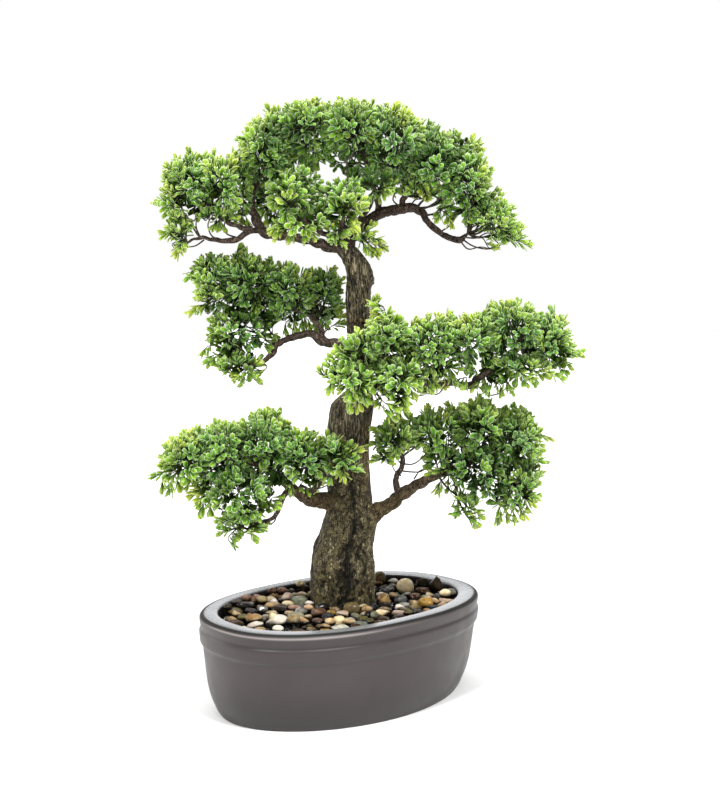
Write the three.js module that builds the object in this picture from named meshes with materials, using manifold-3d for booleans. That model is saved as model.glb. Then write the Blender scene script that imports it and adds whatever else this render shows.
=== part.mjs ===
// Ficus bonsai in its oval pot. Millimetres, +Z up, origin at the centre of the pot's underside.
// The pot's long axis is X. The tree's front looks towards -X -Y, so the tree is drawn in a frame
// of its own (X across the front, Y away from it) that is turned about Z.
import * as THREE from 'three';
import { mergeVertices } from 'three/addons/utils/BufferGeometryUtils.js';
import Module from 'manifold-3d';

const wasm = await Module();
wasm.setup();

// ---------------------------------------------------------------- driving dimensions
const TREE_TURN_DEG = -41.5;          // tree frame about Z, seen from the pot's frame

const RIM_A = 107.5, RIM_B = 72.4;    // rim outside, half length and half width
const OPENING_A = 94.6, OPENING_B = 62.2; // rim opening, half length and half width
const OVAL_N = 2.3;                   // superellipse power of the oval
const POT_H = 67.2;
const POT_FLOOR = 7.5;                // thickness of the pot's floor
const POT_SEGMENTS = 44;

const FIT_GAP = 0.5;                  // between neighbouring pieces
const FILLER_TOP = 54.0;              // the block that holds the trunk
const BED_TOP = 62.0;                 // mean level of the pebble layer
const TRUNK_FOOT = 24.0;              // lower end of the trunk, set in the filler block
const TRUNK_SEGMENTS = 12;
const TRUNK_DEPTH = 0.92;             // front-to-back width against side-to-side width
const BRANCH_SIDES = 6;               // of a main stem; a side stem has 5

// Outside of the pot: height, body scale, detail offset
const POT_OUTSIDE = [
  [0.0, 0.886, -1.8], [1.6, 0.889, 0.0], [10.0, 0.914, 0.0], [21.5, 0.948, 0.0], [32.0, 0.970, 0.0],
  [46.4, 0.989, 0.0], [48.6, 1.0, 0.2], [54.2, 1.0, 0.6], [56.4, 1.0, -0.9], [58.2, 1.0, 0.0],
  [65.2, 1.0, 0.0], [67.2, 1.0, -1.8],
];
// Inside of the pot: height, scale of the opening
const POT_INSIDE = [
  [67.2, 1.004], [66.4, 1.0], [54.0, 0.99], [30.0, 0.95], [12.0, 0.885], [7.5, 0.82],
];

// Trunk: height, centre x, centre y, half width across the front
const TRUNK = [
  [24.0, 0.8, 17.0, 18.0],
  [40.0, 0.8, 17.0, 21.0],
  [58.3, 0.8, 17.0, 23.4],
  [64.3, 0.6, 17.0, 23.2],
  [79.9, 0.3, 16.7, 23.5],
  [98.5, 0.3, 16.3, 22.0],
  [117.7, 5.1, 15.9, 19.5],
  [127.3, 6.0, 15.7, 17.4],
  [136.8, 6.2, 15.5, 15.7],
  [155.1, 4.9, 15.1, 15.5],
  [173.4, 4.9, 14.8, 14.8],
  [186.4, 4.8, 14.5, 15.3],
  [198.0, 6.4, 14.2, 15.1],
  [205.2, 8.0, 14.1, 15.2],
  [212.1, 10.3, 13.9, 12.2],
  [216.1, 12.3, 13.7, 9.5],
  [221.8, 12.5, 13.5, 8.6],
  [252.6, 12.3, 12.1, 8.4],
  [283.9, 12.0, 10.8, 8.7],
  [294.5, 13.2, 10.3, 9.2],
  [301.5, 12.5, 10.0, 9.2],
  [308.5, 9.8, 9.7, 9.0],
  [314.1, 5.6, 9.4, 8.7],
  [318.3, 3.5, 9.2, 7.6],
  [321.8, 2.8, 9.1, 5.8],
];

// Branches, each a main stem and its side stems: x, y, z, radius along each
const BRANCHES = {
  branch_low_left: [
    [[1.7, 10, 135.6, 5.18], [-6.2, 8, 137.7, 5.02], [-16.1, 5, 138.6, 4.57], [-24.5, 2, 140.6, 3.85], [-31.5, -2, 145.5, 3.12], [-39, -6, 152.6, 2.54], [-51.5, -8, 162.2, 2.11], [-67.5, -9, 168, 1.82], [-83.5, -10, 169.5, 1.54], [-98.8, -11, 168.3, 1.19]],
    [[-36.3, -4, 149.4, 2.4], [-41.2, -6, 141.9, 2.12], [-43.1, -9, 135.3, 1.97], [-49.9, -13, 127.5, 1.54], [-63.7, -16, 122.4, 1.26]],
    [[-23.8, 2, 140.6, 2.56], [-17.7, -10, 151.1, 1.97], [-9, -20, 162.5, 1.53], [-2, -24, 171.5, 1.24]],
  ],
  branch_low_right: [
    [[16.1, 14, 125.4, 5.49], [23.3, 14, 130.5, 5.2], [33.4, 13, 136.9, 4.47], [43.4, 12, 143.6, 3.89], [51.3, 11, 148.1, 3.45], [59.8, 10, 153, 3.16], [72.6, 8, 157.6, 2.58], [86.2, 8, 162.7, 2.29], [103.5, 10, 170.4, 1.86], [119.4, 12, 175.2, 1.44]],
    [[42, 12, 143.2, 2.59], [38.3, 10, 150.1, 2.3], [43.2, 7, 162.8, 2], [43.1, 4, 171.9, 1.71], [39.5, 3, 179.9, 1.28]],
    [[97.7, 9, 167.6, 1.86], [113.6, 10, 159.5, 1.58], [126.6, 10, 149.4, 1.29]],
  ],
  branch_mid_left: [
    [[7.5, 13, 248.3, 3.42], [-5.3, 12, 250.5, 3.13], [-13.9, 12, 251.9, 2.78], [-19.5, 12, 255.5, 2.56], [-26.7, 12, 256.6, 2.35], [-33.8, 12, 254.8, 2.14], [-40.9, 12, 253, 1.99], [-46.6, 11, 247, 1.78], [-50.1, 10, 241.4, 1.64], [-56.5, 9, 237.1, 1.42], [-64.9, 8, 234.4, 1.14]],
    [[-12.4, 12, 251.9, 2.28], [-16, 14, 261.1, 2], [-26.8, 16, 272.5, 1.71], [-46.7, 16, 281, 1.5], [-72.2, 15, 288.1, 1.28]],
  ],
  branch_mid_front: [
    [[13.9, 10, 232.8, 2.42], [14.6, -2, 232.2, 2.39], [17.3, -16, 233.1, 2.21], [22.7, -28, 236.7, 1.91], [30.8, -33, 243.1, 1.49]],
    [[17.3, -18, 233.3, 1.93], [11.8, -30, 231.4, 1.63], [7.8, -36, 227.7, 1.22]],
  ],
  branch_mid_right: [
    [[17.5, 11, 245.6, 2.7], [25.9, 2, 240.4, 2.54], [34.2, -6, 235.3, 2.38], [42.4, -13, 230.2, 2.22], [52, -16, 225.5, 2.08], [64.5, -15, 223.7, 2.01], [75.8, -12, 223.8, 2.09], [83.6, -10, 221.9, 2.16], [91.4, -9, 222.2, 2.23], [98.4, -8, 228.4, 2.09], [105.4, -7, 234.6, 1.96], [112.4, -6, 239.5, 1.82], [125.2, -4, 247.8, 1.4], [140.7, -3, 251.9, 1.12]],
    [[64.5, -15, 223.7, 1.8], [68.5, -17, 233.2, 1.66], [72.6, -16, 245.6, 1.38], [82.5, -12, 255.1, 1.11]],
  ],
  branch_crown_left: [
    [[1.9, 7, 316.2, 3.38], [-5.1, 6, 318.3, 3.23], [-14.9, 5, 321, 3.02], [-24.6, 4, 323.1, 2.8], [-35.8, 3, 325.1, 2.66], [-46.2, 2, 326.8, 2.66], [-54.6, 2, 329.9, 2.66], [-59.3, 1, 336.8, 2.65], [-62.8, 1, 345.8, 2.51], [-60.7, 3, 356.3, 1.81], [-53.9, 6, 371.7, 1.47], [-42.8, 8, 385.7, 1.19]],
    [[-55.3, 2, 330.6, 2.24], [-63.5, 0, 328.5, 2.16], [-73.2, -1, 323.9, 2.09], [-82.9, -2, 322.2, 1.95], [-91.1, -3, 323.2, 1.67], [-97.9, -4, 324.2, 1.32], [-106.2, -5, 320.7, 1.04]],
    [[-62.1, 0, 330.5, 1.95], [-71.6, -2, 332.5, 1.81], [-81.3, -2, 337.4, 1.6], [-88.9, -2, 344.9, 1.39], [-95.9, -1, 354.6, 1.11]],
  ],
  branch_crown_right: [
    [[3.3, 8, 317.6, 4.65], [6.9, 8, 324.6, 4.36], [13.2, 8, 332.3, 4.01], [20.9, 8, 337.9, 3.65], [28.7, 8, 341.7, 3.37], [37.1, 8, 344.1, 3.09], [44.8, 8, 345.5, 2.81], [51.1, 8, 345.2, 2.46], [57.5, 8, 341, 2.25], [62.4, 7, 333.3, 2.04], [68, 7, 328.4, 1.97], [74.3, 6, 325.6, 1.97], [82, 6, 325.9, 1.54], [93.2, 6, 332.9, 1.19]],
    [[41.3, 8, 344.8, 2.39], [45.5, 9, 353.9, 2.11], [48.3, 9, 365, 1.75], [51.1, 10, 379, 1.33]],
    [[25.8, 8, 340.6, 2.39], [25.2, 10, 352.6, 2.11], [21.6, 11, 366.6, 1.76], [14.6, 12, 386.1, 1.41]],
  ],
  branch_crown_front: [
    [[2, 4, 318.9, 2.24], [-3.4, -8, 322.7, 2.07], [-12.7, -20, 327.7, 1.84], [-23.3, -26, 334.1, 1.56], [-32.6, -29, 343.4, 1.21]],
    [[-4.7, -10, 323.3, 1.66], [1, -22, 330.3, 1.5], [4.4, -29, 338.7, 1.21]],
  ],
  branch_crown_back: [
    [[5.4, 10, 320.5, 2.54], [4.6, 22, 329.4, 2.36], [-2.6, 30, 336.8, 2.16], [-17.2, 36, 344.3, 1.88], [-33.3, 40, 351.7, 1.6], [-45, 42, 359, 1.24]],
    [[4.6, 23, 330.1, 2.15], [11.8, 32, 339.8, 1.95], [21.9, 38, 351.6, 1.74], [32.1, 42, 363.4, 1.46], [36.5, 44, 373.6, 1.17]],
  ],
};

// Leaf sprays, each the outer shape of one clump of leaves: ellipsoids as x, y, z, half sizes
const LEAF_SPRAYS = {
  leaves_crown_left_outer: [[-108.3, -1, 357.4, 20.8, 34, 25.7], [-114.4, -5, 329, 13.9, 24, 15.3]],
  leaves_crown_left_inner: [[-79.4, 2, 361.7, 20.2, 38, 25.8], [-86.3, -1, 336.7, 17.4, 26, 11.8]],
  leaves_crown_top_left: [[-51.2, 8, 385, 23.8, 44, 26.6]],
  leaves_crown_top_front: [[-23.1, 8, 398.8, 23.7, 50, 23.1]],
  leaves_crown_top_middle: [[6.2, 10, 400.4, 23.8, 54, 22.4]],
  leaves_crown_top_right: [[37, 10, 390.7, 23.8, 50, 25.9]],
  leaves_crown_shoulder: [[65.1, 10, 376.2, 21.1, 44, 25.3], [58.1, 8, 353.9, 16.8, 28, 10.5]],
  leaves_crown_right_outer: [[87.5, 8, 360.8, 18.9, 38, 28], [107.2, 6, 334.3, 18.9, 30, 18.2]],
  leaves_crown_under: [[24.3, 2, 359.7, 17.4, 30, 13.9]],
  leaves_crown_front_left: [[-33.2, -30, 350, 18.2, 26, 18.8], [-26, -28, 331.4, 18.9, 23, 11.5]],
  leaves_crown_front_right: [[4.5, -32, 343.8, 15.4, 24, 16.8], [-4.3, -29, 326.6, 13.5, 17, 8.8]],
  leaves_crown_low_spray: [[18.1, -2, 320.8, 11.1, 12, 9.1]],
  leaves_crown_back_left: [[-48.1, 44, 360.6, 21.2, 26, 21.9]],
  leaves_crown_back_right: [[37.4, 50, 374.1, 22, 26, 19.1]],
  leaves_mid_left_outer: [[-91.3, 14, 290.9, 19.2, 34, 24.2]],
  leaves_mid_left_top: [[-64.7, 19, 293.8, 21.4, 42, 24.3]],
  leaves_mid_left_inner: [[-36.2, 21, 286.6, 20.1, 40, 21.5], [-12.9, 30, 283, 13.8, 28, 21]],
  leaves_mid_left_low: [[-74.3, 12, 259.8, 22.8, 30, 15.7]],
  leaves_mid_left_tip: [[-73.5, 8, 232.9, 22, 22, 12.8]],
  leaves_mid_front_top: [[11.8, -34, 245.9, 18.3, 26, 15.6], [30.9, -30, 255.9, 16.3, 27, 18.3]],
  leaves_mid_front_low: [[7.8, -38, 227.9, 17.5, 26, 14.2], [38.8, -39, 228.6, 17.5, 28, 16.2]],
  leaves_mid_right_inner: [[62, -20, 250.6, 19.2, 35, 22.7]],
  leaves_mid_right_middle: [[89.4, -12, 255.8, 19.4, 40, 21.5]],
  leaves_mid_right_top: [[119.2, -6, 263.2, 20.9, 40, 20.9]],
  leaves_mid_right_outer: [[147.1, -2, 253.3, 19.6, 33, 20.3]],
  leaves_mid_right_low: [[124.9, -8, 231.9, 25.1, 28, 12.6]],
  leaves_low_left_outer: [[-108.7, -10, 171.7, 21.7, 33, 21.7]],
  leaves_low_left_top: [[-81.3, -4, 176.5, 21.1, 42, 24]],
  leaves_low_left_middle: [[-54.6, -2, 182, 21.2, 42, 24]],
  leaves_low_left_inner: [[-27.5, -8, 172.8, 19.7, 34, 21.1], [-2, -25, 175.1, 14.5, 18, 14.5]],
  leaves_low_left_front: [[-73.1, -18, 148.2, 25.1, 30, 18.1]],
  leaves_low_left_tip: [[-73.3, -18, 122.8, 15.4, 20, 12.6]],
  leaves_low_right_inner: [[38.7, 2, 182.2, 17, 30, 17.7]],
  leaves_low_right_top: [[68.1, 8, 187.9, 20.7, 38, 19.3], [96.3, 12, 191.8, 20.8, 42, 22.2]],
  leaves_low_right_outer: [[126, 14, 182.9, 20.8, 36, 23]],
  leaves_low_right_front: [[95.6, 2, 162.8, 21.3, 30, 17.8]],
  leaves_low_right_tip: [[128.1, 10, 147.2, 18.7, 28, 23], [91.6, 2, 132.6, 11.4, 12, 9.3]],
};

// Large pebbles on the layer: name, x, y, z, half length, half height
const PEBBLES = [
  ['pebble_01', 47.6, 56.5, 63.2, 6.5, 6.5],
  ['pebble_02', 76.7, 34.9, 70.0, 5.2, 4.5],
  ['pebble_03', 60.7, 9.5, 63.2, 6.2, 4.3],
  ['pebble_04', 43.1, 18.3, 63.2, 5.5, 3.7],
  ['pebble_05', 30.0, 18.3, 63.2, 5.1, 5.1],
  ['pebble_06', 28.2, 73.8, 67.0, 5.0, 3.9],
  ['pebble_07', 7.5, -11.8, 63.2, 6.4, 4.2],
  ['pebble_08', -1.0, -40.1, 63.2, 4.8, 3.8],
  ['pebble_09', -31.9, 15.3, 63.2, 7.3, 4.0],
  ['pebble_10', -29.7, 45.6, 63.7, 5.3, 3.8],
];

// ---------------------------------------------------------------- helpers
const solidOf = (geometry) => {
  const g = geometry.clone();
  g.deleteAttribute('normal');
  g.deleteAttribute('uv');
  const m = mergeVertices(g, 1e-5);
  return new wasm.Manifold(new wasm.Mesh({
    numProp: 3,
    vertProperties: new Float32Array(m.attributes.position.array),
    triVerts: new Uint32Array(m.index.array),
  }));
};

// The largest connected body of a solid, as a geometry; slivers left by a cut are dropped.
const geometryOf = (solid) => {
  const mesh = solid.getMesh();
  const n = mesh.vertProperties.length / mesh.numProp;
  const parent = Array.from({ length: n }, (_, i) => i);
  const root = (i) => { while (parent[i] !== i) { parent[i] = parent[parent[i]]; i = parent[i]; } return i; };
  const tri = mesh.triVerts;
  for (let i = 0; i < tri.length; i += 3) {
    parent[root(tri[i])] = root(tri[i + 1]);
    parent[root(tri[i + 1])] = root(tri[i + 2]);
  }
  const p = (i) => new THREE.Vector3().fromArray(mesh.vertProperties, i * mesh.numProp);
  const volume = new Map();
  for (let i = 0; i < tri.length; i += 3) {
    const r = root(tri[i]);
    const v = p(tri[i]).dot(p(tri[i + 1]).cross(p(tri[i + 2]))) / 6;
    volume.set(r, (volume.get(r) ?? 0) + v);
  }
  const keep = [...volume.entries()].sort((a, b) => b[1] - a[1])[0][0];
  const used = new Map();
  const pos = [], index = [];
  for (let i = 0; i < tri.length; i += 3) {
    if (root(tri[i]) !== keep) continue;
    for (let k = 0; k < 3; k++) {
      const v = tri[i + k];
      if (!used.has(v)) { used.set(v, pos.length / 3); pos.push(...p(v).toArray()); }
      index.push(used.get(v));
    }
  }
  const g = new THREE.BufferGeometry();
  g.setAttribute('position', new THREE.Float32BufferAttribute(pos, 3));
  g.setIndex(index);
  g.computeVertexNormals();
  return g;
};

// A closed skin through rings of points, with a fan over the first and the last ring.
const loft = (rings) => {
  const n = rings[0].length, pos = [], index = [];
  rings.forEach((r) => r.forEach((v) => pos.push(v.x, v.y, v.z)));
  for (let i = 0; i + 1 < rings.length; i++) {
    for (let j = 0; j < n; j++) {
      const a = i * n + j, b = i * n + ((j + 1) % n), c = a + n, d = b + n;
      index.push(a, b, d, a, d, c);
    }
  }
  const cap = (ring, base, flip) => {
    const c = ring.reduce((s, v) => s.add(v), new THREE.Vector3()).multiplyScalar(1 / n);
    const k = pos.length / 3;
    pos.push(c.x, c.y, c.z);
    for (let j = 0; j < n; j++) {
      const a = base + j, b = base + ((j + 1) % n);
      if (flip) index.push(k, b, a); else index.push(k, a, b);
    }
  };
  cap(rings[0], 0, true);
  cap(rings[rings.length - 1], (rings.length - 1) * n, false);
  const g = new THREE.BufferGeometry();
  g.setAttribute('position', new THREE.Float32BufferAttribute(pos, 3));
  g.setIndex(index);
  g.computeVertexNormals();
  return g;
};

const oval = (a, b, z, n = POT_SEGMENTS) => Array.from({ length: n }, (_, i) => {
  const t = (i / n) * Math.PI * 2, c = Math.cos(t), s = Math.sin(t), e = 2 / OVAL_N;
  return new THREE.Vector3(Math.sign(c) * a * Math.abs(c) ** e, Math.sign(s) * b * Math.abs(s) ** e, z);
});

// Stem through points with a radius at each; the section stays square to the path.
const stem = (points, grow, sides) => {
  const curve = new THREE.CatmullRomCurve3(points.map((q) => new THREE.Vector3(q[0], q[1], q[2])), false, 'centripetal');
  const steps = Math.max(3, Math.round(points.length * 0.8));
  const frames = curve.computeFrenetFrames(steps, false);
  const rings = [];
  for (let i = 0; i <= steps; i++) {
    const u = i / steps, c = curve.getPointAt(u);
    const f = curve.getUtoTmapping(u) * (points.length - 1), k = Math.min(points.length - 2, Math.floor(f));
    const r = THREE.MathUtils.lerp(points[k][3], points[k + 1][3], f - k) + grow;
    const ring = [];
    for (let j = 0; j < sides; j++) {
      const t = (j / sides) * Math.PI * 2;
      ring.push(c.clone().addScaledVector(frames.normals[i], r * Math.cos(t)).addScaledVector(frames.binormals[i], r * Math.sin(t)));
    }
    rings.push(ring);
  }
  if (grow > 0) {
    const a = frames.tangents[0], b = frames.tangents[steps];
    rings[0].forEach((v) => v.addScaledVector(a, -grow));
    rings[steps].forEach((v) => v.addScaledVector(b, grow));
  }
  return solidOf(loft(rings));
};
const branchSolid = (tubes, grow) => tubes.map((t, i) => stem(t, grow, i ? 5 : BRANCH_SIDES)).reduce((a, b) => a.add(b));

// The trunk: shallow ridges run up it, strongest at the root flare.
const trunkSolid = (grow) => {
  const rings = TRUNK.map(([z, x, y, r]) => Array.from({ length: TRUNK_SEGMENTS }, (_, i) => {
    const t = (i / TRUNK_SEGMENTS) * Math.PI * 2;
    const flare = THREE.MathUtils.clamp((130 - z) / 90, 0, 1);
    const ridge = 1 + 0.05 * flare * Math.cos(5 * t + 0.6) * Math.abs(Math.sin(t));
    return new THREE.Vector3(x + (r + grow) * Math.cos(t) * ridge, y + (r * TRUNK_DEPTH + grow) * Math.sin(t) * ridge, z);
  }));
  if (grow > 0) {
    rings[0].forEach((v) => { v.z -= grow; });
    rings[rings.length - 1].forEach((v) => { v.z += grow; });
  }
  return solidOf(loft(rings));
};

const ellipsoid = ([x, y, z, rx, ry, rz], detail, grow = 0) => {
  const g = new THREE.IcosahedronGeometry(1, detail);
  const k = 1.03;                     // makes up for the flat faces
  g.scale(rx * k + grow, ry * k + grow, rz * k + grow);
  g.translate(x, y, z);
  return solidOf(g);
};

const pebbleGeometry = (i, halfLength, halfHeight) => {
  const g = new THREE.IcosahedronGeometry(1, 1);
  const p = g.attributes.position, v = new THREE.Vector3();
  for (let k = 0; k < p.count; k++) {
    v.fromBufferAttribute(p, k);
    const s = 1 + 0.06 * Math.sin(3.1 * v.x + 1.7 * i) + 0.06 * Math.cos(2.7 * v.y - 1.3 * i) + 0.04 * Math.sin(2.3 * v.z + i);
    p.setXYZ(k, v.x * s * halfLength, v.y * s * halfLength * 0.82, v.z * s * halfHeight);
  }
  g.rotateZ(i * 1.1);
  return g;
};

const material = (name, color, roughness) => {
  const m = new THREE.MeshStandardMaterial({ color, roughness, metalness: 0 });
  m.name = name;
  return m;
};
const POT_CLAY = material('pot_clay', 0x5f5752, 0.55);
const FILLER = material('filler_foam', 0x3a322b, 0.95);
const STONE = material('pebble_stone', 0x9a8468, 0.3);
const BARK = material('trunk_bark', 0x5a4c3c, 0.85);
const TWIG = material('branch_bark', 0x40342e, 0.75);
const LEAF = material('leaf_green', 0x4f8f35, 0.5);

const bonsai = new THREE.Group();
const tree = new THREE.Group();
tree.rotation.z = THREE.MathUtils.degToRad(TREE_TURN_DEG);
bonsai.add(tree);
tree.updateMatrixWorld(true);

const addMesh = (parent, name, geometry, mat) => {
  const mesh = new THREE.Mesh(geometry, mat);
  mesh.name = name;
  parent.add(mesh);
};

// A solid drawn in the tree frame, turned into the pot's frame.
const inPotFrame = (solid) => {
  const g = geometryOf(solid);
  g.applyMatrix4(tree.matrixWorld);
  return solidOf(g);
};

// ---------------------------------------------------------------- pot
const potRings = [
  ...POT_OUTSIDE.map(([z, s, d]) => oval(RIM_A * s + d, RIM_B * s + d, z)),
  ...POT_INSIDE.map(([z, s]) => oval(OPENING_A * s, OPENING_B * s, z)),
];
addMesh(bonsai, 'pot', loft(potRings), POT_CLAY);

const insideScale = (z) => {
  for (let i = 0; i + 1 < POT_INSIDE.length; i++) {
    const [z1, s1] = POT_INSIDE[i], [z0, s0] = POT_INSIDE[i + 1];
    if (z <= z1 && z >= z0) return THREE.MathUtils.lerp(s0, s1, (z - z0) / (z1 - z0));
  }
  return POT_INSIDE[POT_INSIDE.length - 1][1];
};
const insideOval = (z, gap, n) => oval(OPENING_A * insideScale(z) - gap, OPENING_B * insideScale(z) - gap, z, n);

// ---------------------------------------------------------------- filler block
const trunkHole = inPotFrame(trunkSolid(FIT_GAP));
const fillerBody = solidOf(loft([8.4, 12.6, 30.0, FILLER_TOP].map((z) => insideOval(z, FIT_GAP + 0.5, 32))));
addMesh(bonsai, 'filler_block', geometryOf(fillerBody.subtract(trunkHole)), FILLER);

// ---------------------------------------------------------------- pebbles
const pebbles = PEBBLES.map(([name, x, y, z, hl, hh], i) => {
  const g = pebbleGeometry(i + 1, hl, hh);
  g.translate(x, y, z);
  g.applyMatrix4(tree.matrixWorld);
  const c = new THREE.Vector3(x, y, z).applyMatrix4(tree.matrixWorld);
  const grown = g.clone();
  grown.translate(-c.x, -c.y, -c.z);
  grown.scale(1 + FIT_GAP / hh, 1 + FIT_GAP / hh, 1 + FIT_GAP / hh);
  grown.translate(c.x, c.y, c.z);
  return { name, solid: solidOf(g), grown: solidOf(grown) };
});

const BED_BOTTOM = FILLER_TOP + FIT_GAP;
const bump = (x, y) => 0.7 * Math.sin(x * 0.55 + 1.3 * Math.sin(y * 0.31)) + 0.7 * Math.cos(y * 0.61 + 1.1 * Math.sin(x * 0.27));
const bedRings = [insideOval(BED_BOTTOM, FIT_GAP + 0.5, 32), insideOval(BED_TOP - 1.5, FIT_GAP + 0.5, 32)];
for (const s of [0.92, 0.76, 0.58, 0.38, 0.18]) {
  const ring = insideOval(BED_TOP, 0, 32);
  ring.forEach((v) => { v.x *= s; v.y *= s; v.z = BED_TOP + bump(v.x, v.y); });
  bedRings.push(ring);
}
let bed = solidOf(loft(bedRings)).subtract(trunkHole);
for (const p of pebbles) bed = bed.subtract(p.grown);
addMesh(bonsai, 'pebble_bed', geometryOf(bed), STONE);
for (const p of pebbles) addMesh(bonsai, p.name, geometryOf(p.solid.subtract(trunkHole)), STONE);

// ---------------------------------------------------------------- tree
addMesh(tree, 'trunk', geometryOf(trunkSolid(0)), BARK);
const trunkClear = trunkSolid(FIT_GAP);

const placed = [];
for (const [name, tubes] of Object.entries(BRANCHES)) {
  let s = branchSolid(tubes, 0).subtract(trunkClear);
  for (const other of placed) s = s.subtract(other);
  addMesh(tree, name, geometryOf(s), TWIG);
  placed.push(branchSolid(tubes, FIT_GAP));
}

const leaves = [];
for (const [name, shapes] of Object.entries(LEAF_SPRAYS)) {
  let s = shapes.map((e) => ellipsoid(e, 1)).reduce((a, b) => a.add(b));
  s = s.subtract(trunkClear);
  for (const b of placed) s = s.subtract(b);
  for (const other of leaves) s = s.subtract(other);
  addMesh(tree, name, geometryOf(s), LEAF);
  leaves.push(shapes.map((e) => ellipsoid(e, 1, FIT_GAP)).reduce((a, b) => a.add(b)));
}

export default bonsai;
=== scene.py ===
import bpy
import math
import numpy as np
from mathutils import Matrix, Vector
from mathutils.kdtree import KDTree


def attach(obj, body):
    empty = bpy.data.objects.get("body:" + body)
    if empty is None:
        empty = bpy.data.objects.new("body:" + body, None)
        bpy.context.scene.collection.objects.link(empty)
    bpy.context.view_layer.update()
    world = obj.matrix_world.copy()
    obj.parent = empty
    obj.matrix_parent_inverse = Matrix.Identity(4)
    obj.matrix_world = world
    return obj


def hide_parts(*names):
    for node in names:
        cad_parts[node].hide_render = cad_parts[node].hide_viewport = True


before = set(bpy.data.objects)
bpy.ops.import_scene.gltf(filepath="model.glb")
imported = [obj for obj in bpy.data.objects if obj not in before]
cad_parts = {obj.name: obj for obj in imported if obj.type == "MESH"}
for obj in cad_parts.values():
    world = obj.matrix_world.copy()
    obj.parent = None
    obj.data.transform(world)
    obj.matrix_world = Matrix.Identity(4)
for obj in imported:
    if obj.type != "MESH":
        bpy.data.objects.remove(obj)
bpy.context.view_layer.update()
scene = bpy.context.scene

# ------------------------------------------------------------------ frames
# The tree is drawn in millimetres in a frame of its own: X across the front,
# Y away from it, Z up. turn() takes it to the row frame, in metres.
PHI = math.radians(41.5)
COS, SIN = math.cos(PHI), math.sin(PHI)


def turn(p):
    p = np.asarray(p, float)
    out = np.empty_like(p)
    out[..., 0] = p[..., 0] * COS + p[..., 1] * SIN
    out[..., 1] = -p[..., 0] * SIN + p[..., 1] * COS
    out[..., 2] = p[..., 2]
    return out * 0.001


# ------------------------------------------------------------------ camera
CAM = np.array([13.2, -896.0, 292.7])
TILT = math.radians(5.22)
FOCAL = 1275.0
cam_data = bpy.data.cameras.new("camera")
cam = bpy.data.objects.new("camera", cam_data)
scene.collection.objects.link(cam)
cam_data.sensor_width = 36.0
cam_data.lens = FOCAL * 36.0 / 800.0
cam.location = Vector(turn(CAM))
cam.rotation_euler = (math.pi / 2 - TILT, 0.0, -PHI)
scene.camera = cam

AX_R = np.array([1.0, 0.0, 0.0])
AX_U = np.array([0.0, math.sin(TILT), math.cos(TILT)])
AX_F = np.array([0.0, math.cos(TILT), -math.sin(TILT)])


def project(p):
    """Tree frame, mm, to the picture's 720 by 800 frame."""
    d = np.asarray(p, float) - CAM
    z = d @ AX_F
    return np.stack([360.0 + FOCAL * (d @ AX_R) / z, 400.0 - FOCAL * (d @ AX_U) / z], -1)


def ray_at_y(u, v, y):
    d = AX_R * (u - 360.0) / FOCAL + AX_U * (400.0 - v) / FOCAL + AX_F
    return CAM + d * ((y - CAM[1]) / d[1])


def ray_at_z(u, v, z):
    d = AX_R * (u - 360.0) / FOCAL + AX_U * (400.0 - v) / FOCAL + AX_F
    return CAM + d * ((z - CAM[2]) / d[2])


# ------------------------------------------------------------------ small maths
def unit(v):
    v = np.asarray(v, float)
    return v / np.maximum(np.linalg.norm(v, axis=-1, keepdims=True), 1e-12)


def smooth(a, b, x):
    t = np.clip((np.asarray(x, float) - a) / (b - a), 0.0, 1.0)
    return t * t * (3.0 - 2.0 * t)


def _lattice(i, j, k, seed):
    h = (i.astype(np.uint32) * np.uint32(0x8DA6B343)) ^ (j.astype(np.uint32) * np.uint32(0xD8163841)) ^ (
        k.astype(np.uint32) * np.uint32(0xCB1AB31F)
    ) ^ np.uint32((seed * 0x9E3779B1) & 0xFFFFFFFF)
    h ^= h >> np.uint32(15)
    h *= np.uint32(0x85EBCA6B)
    h ^= h >> np.uint32(13)
    h *= np.uint32(0xC2B2AE35)
    h ^= h >> np.uint32(16)
    return h.astype(np.float64) / 4294967295.0


def noise(p, seed=0):
    """Value noise in -1..1 at points p (N, 3)."""
    p = np.asarray(p, float)
    f = np.floor(p)
    t = p - f
    t = t * t * t * (t * (t * 6 - 15) + 10)
    i = f.astype(np.int64)
    out = 0.0
    for dx in (0, 1):
        wx = t[..., 0] if dx else 1 - t[..., 0]
        for dy in (0, 1):
            wy = t[..., 1] if dy else 1 - t[..., 1]
            for dz in (0, 1):
                wz = t[..., 2] if dz else 1 - t[..., 2]
                out = out + wx * wy * wz * _lattice(i[..., 0] + dx, i[..., 1] + dy, i[..., 2] + dz, seed)
    return out * 2.0 - 1.0


def fbm(p, seed=0, octaves=4, gain=0.5):
    p = np.asarray(p, float)
    total, amp, norm = 0.0, 1.0, 0.0
    for o in range(octaves):
        total = total + amp * noise(p * (2.0 ** o) + 17.3 * o, seed + o)
        norm += amp
        amp *= gain
    return total / norm


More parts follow.
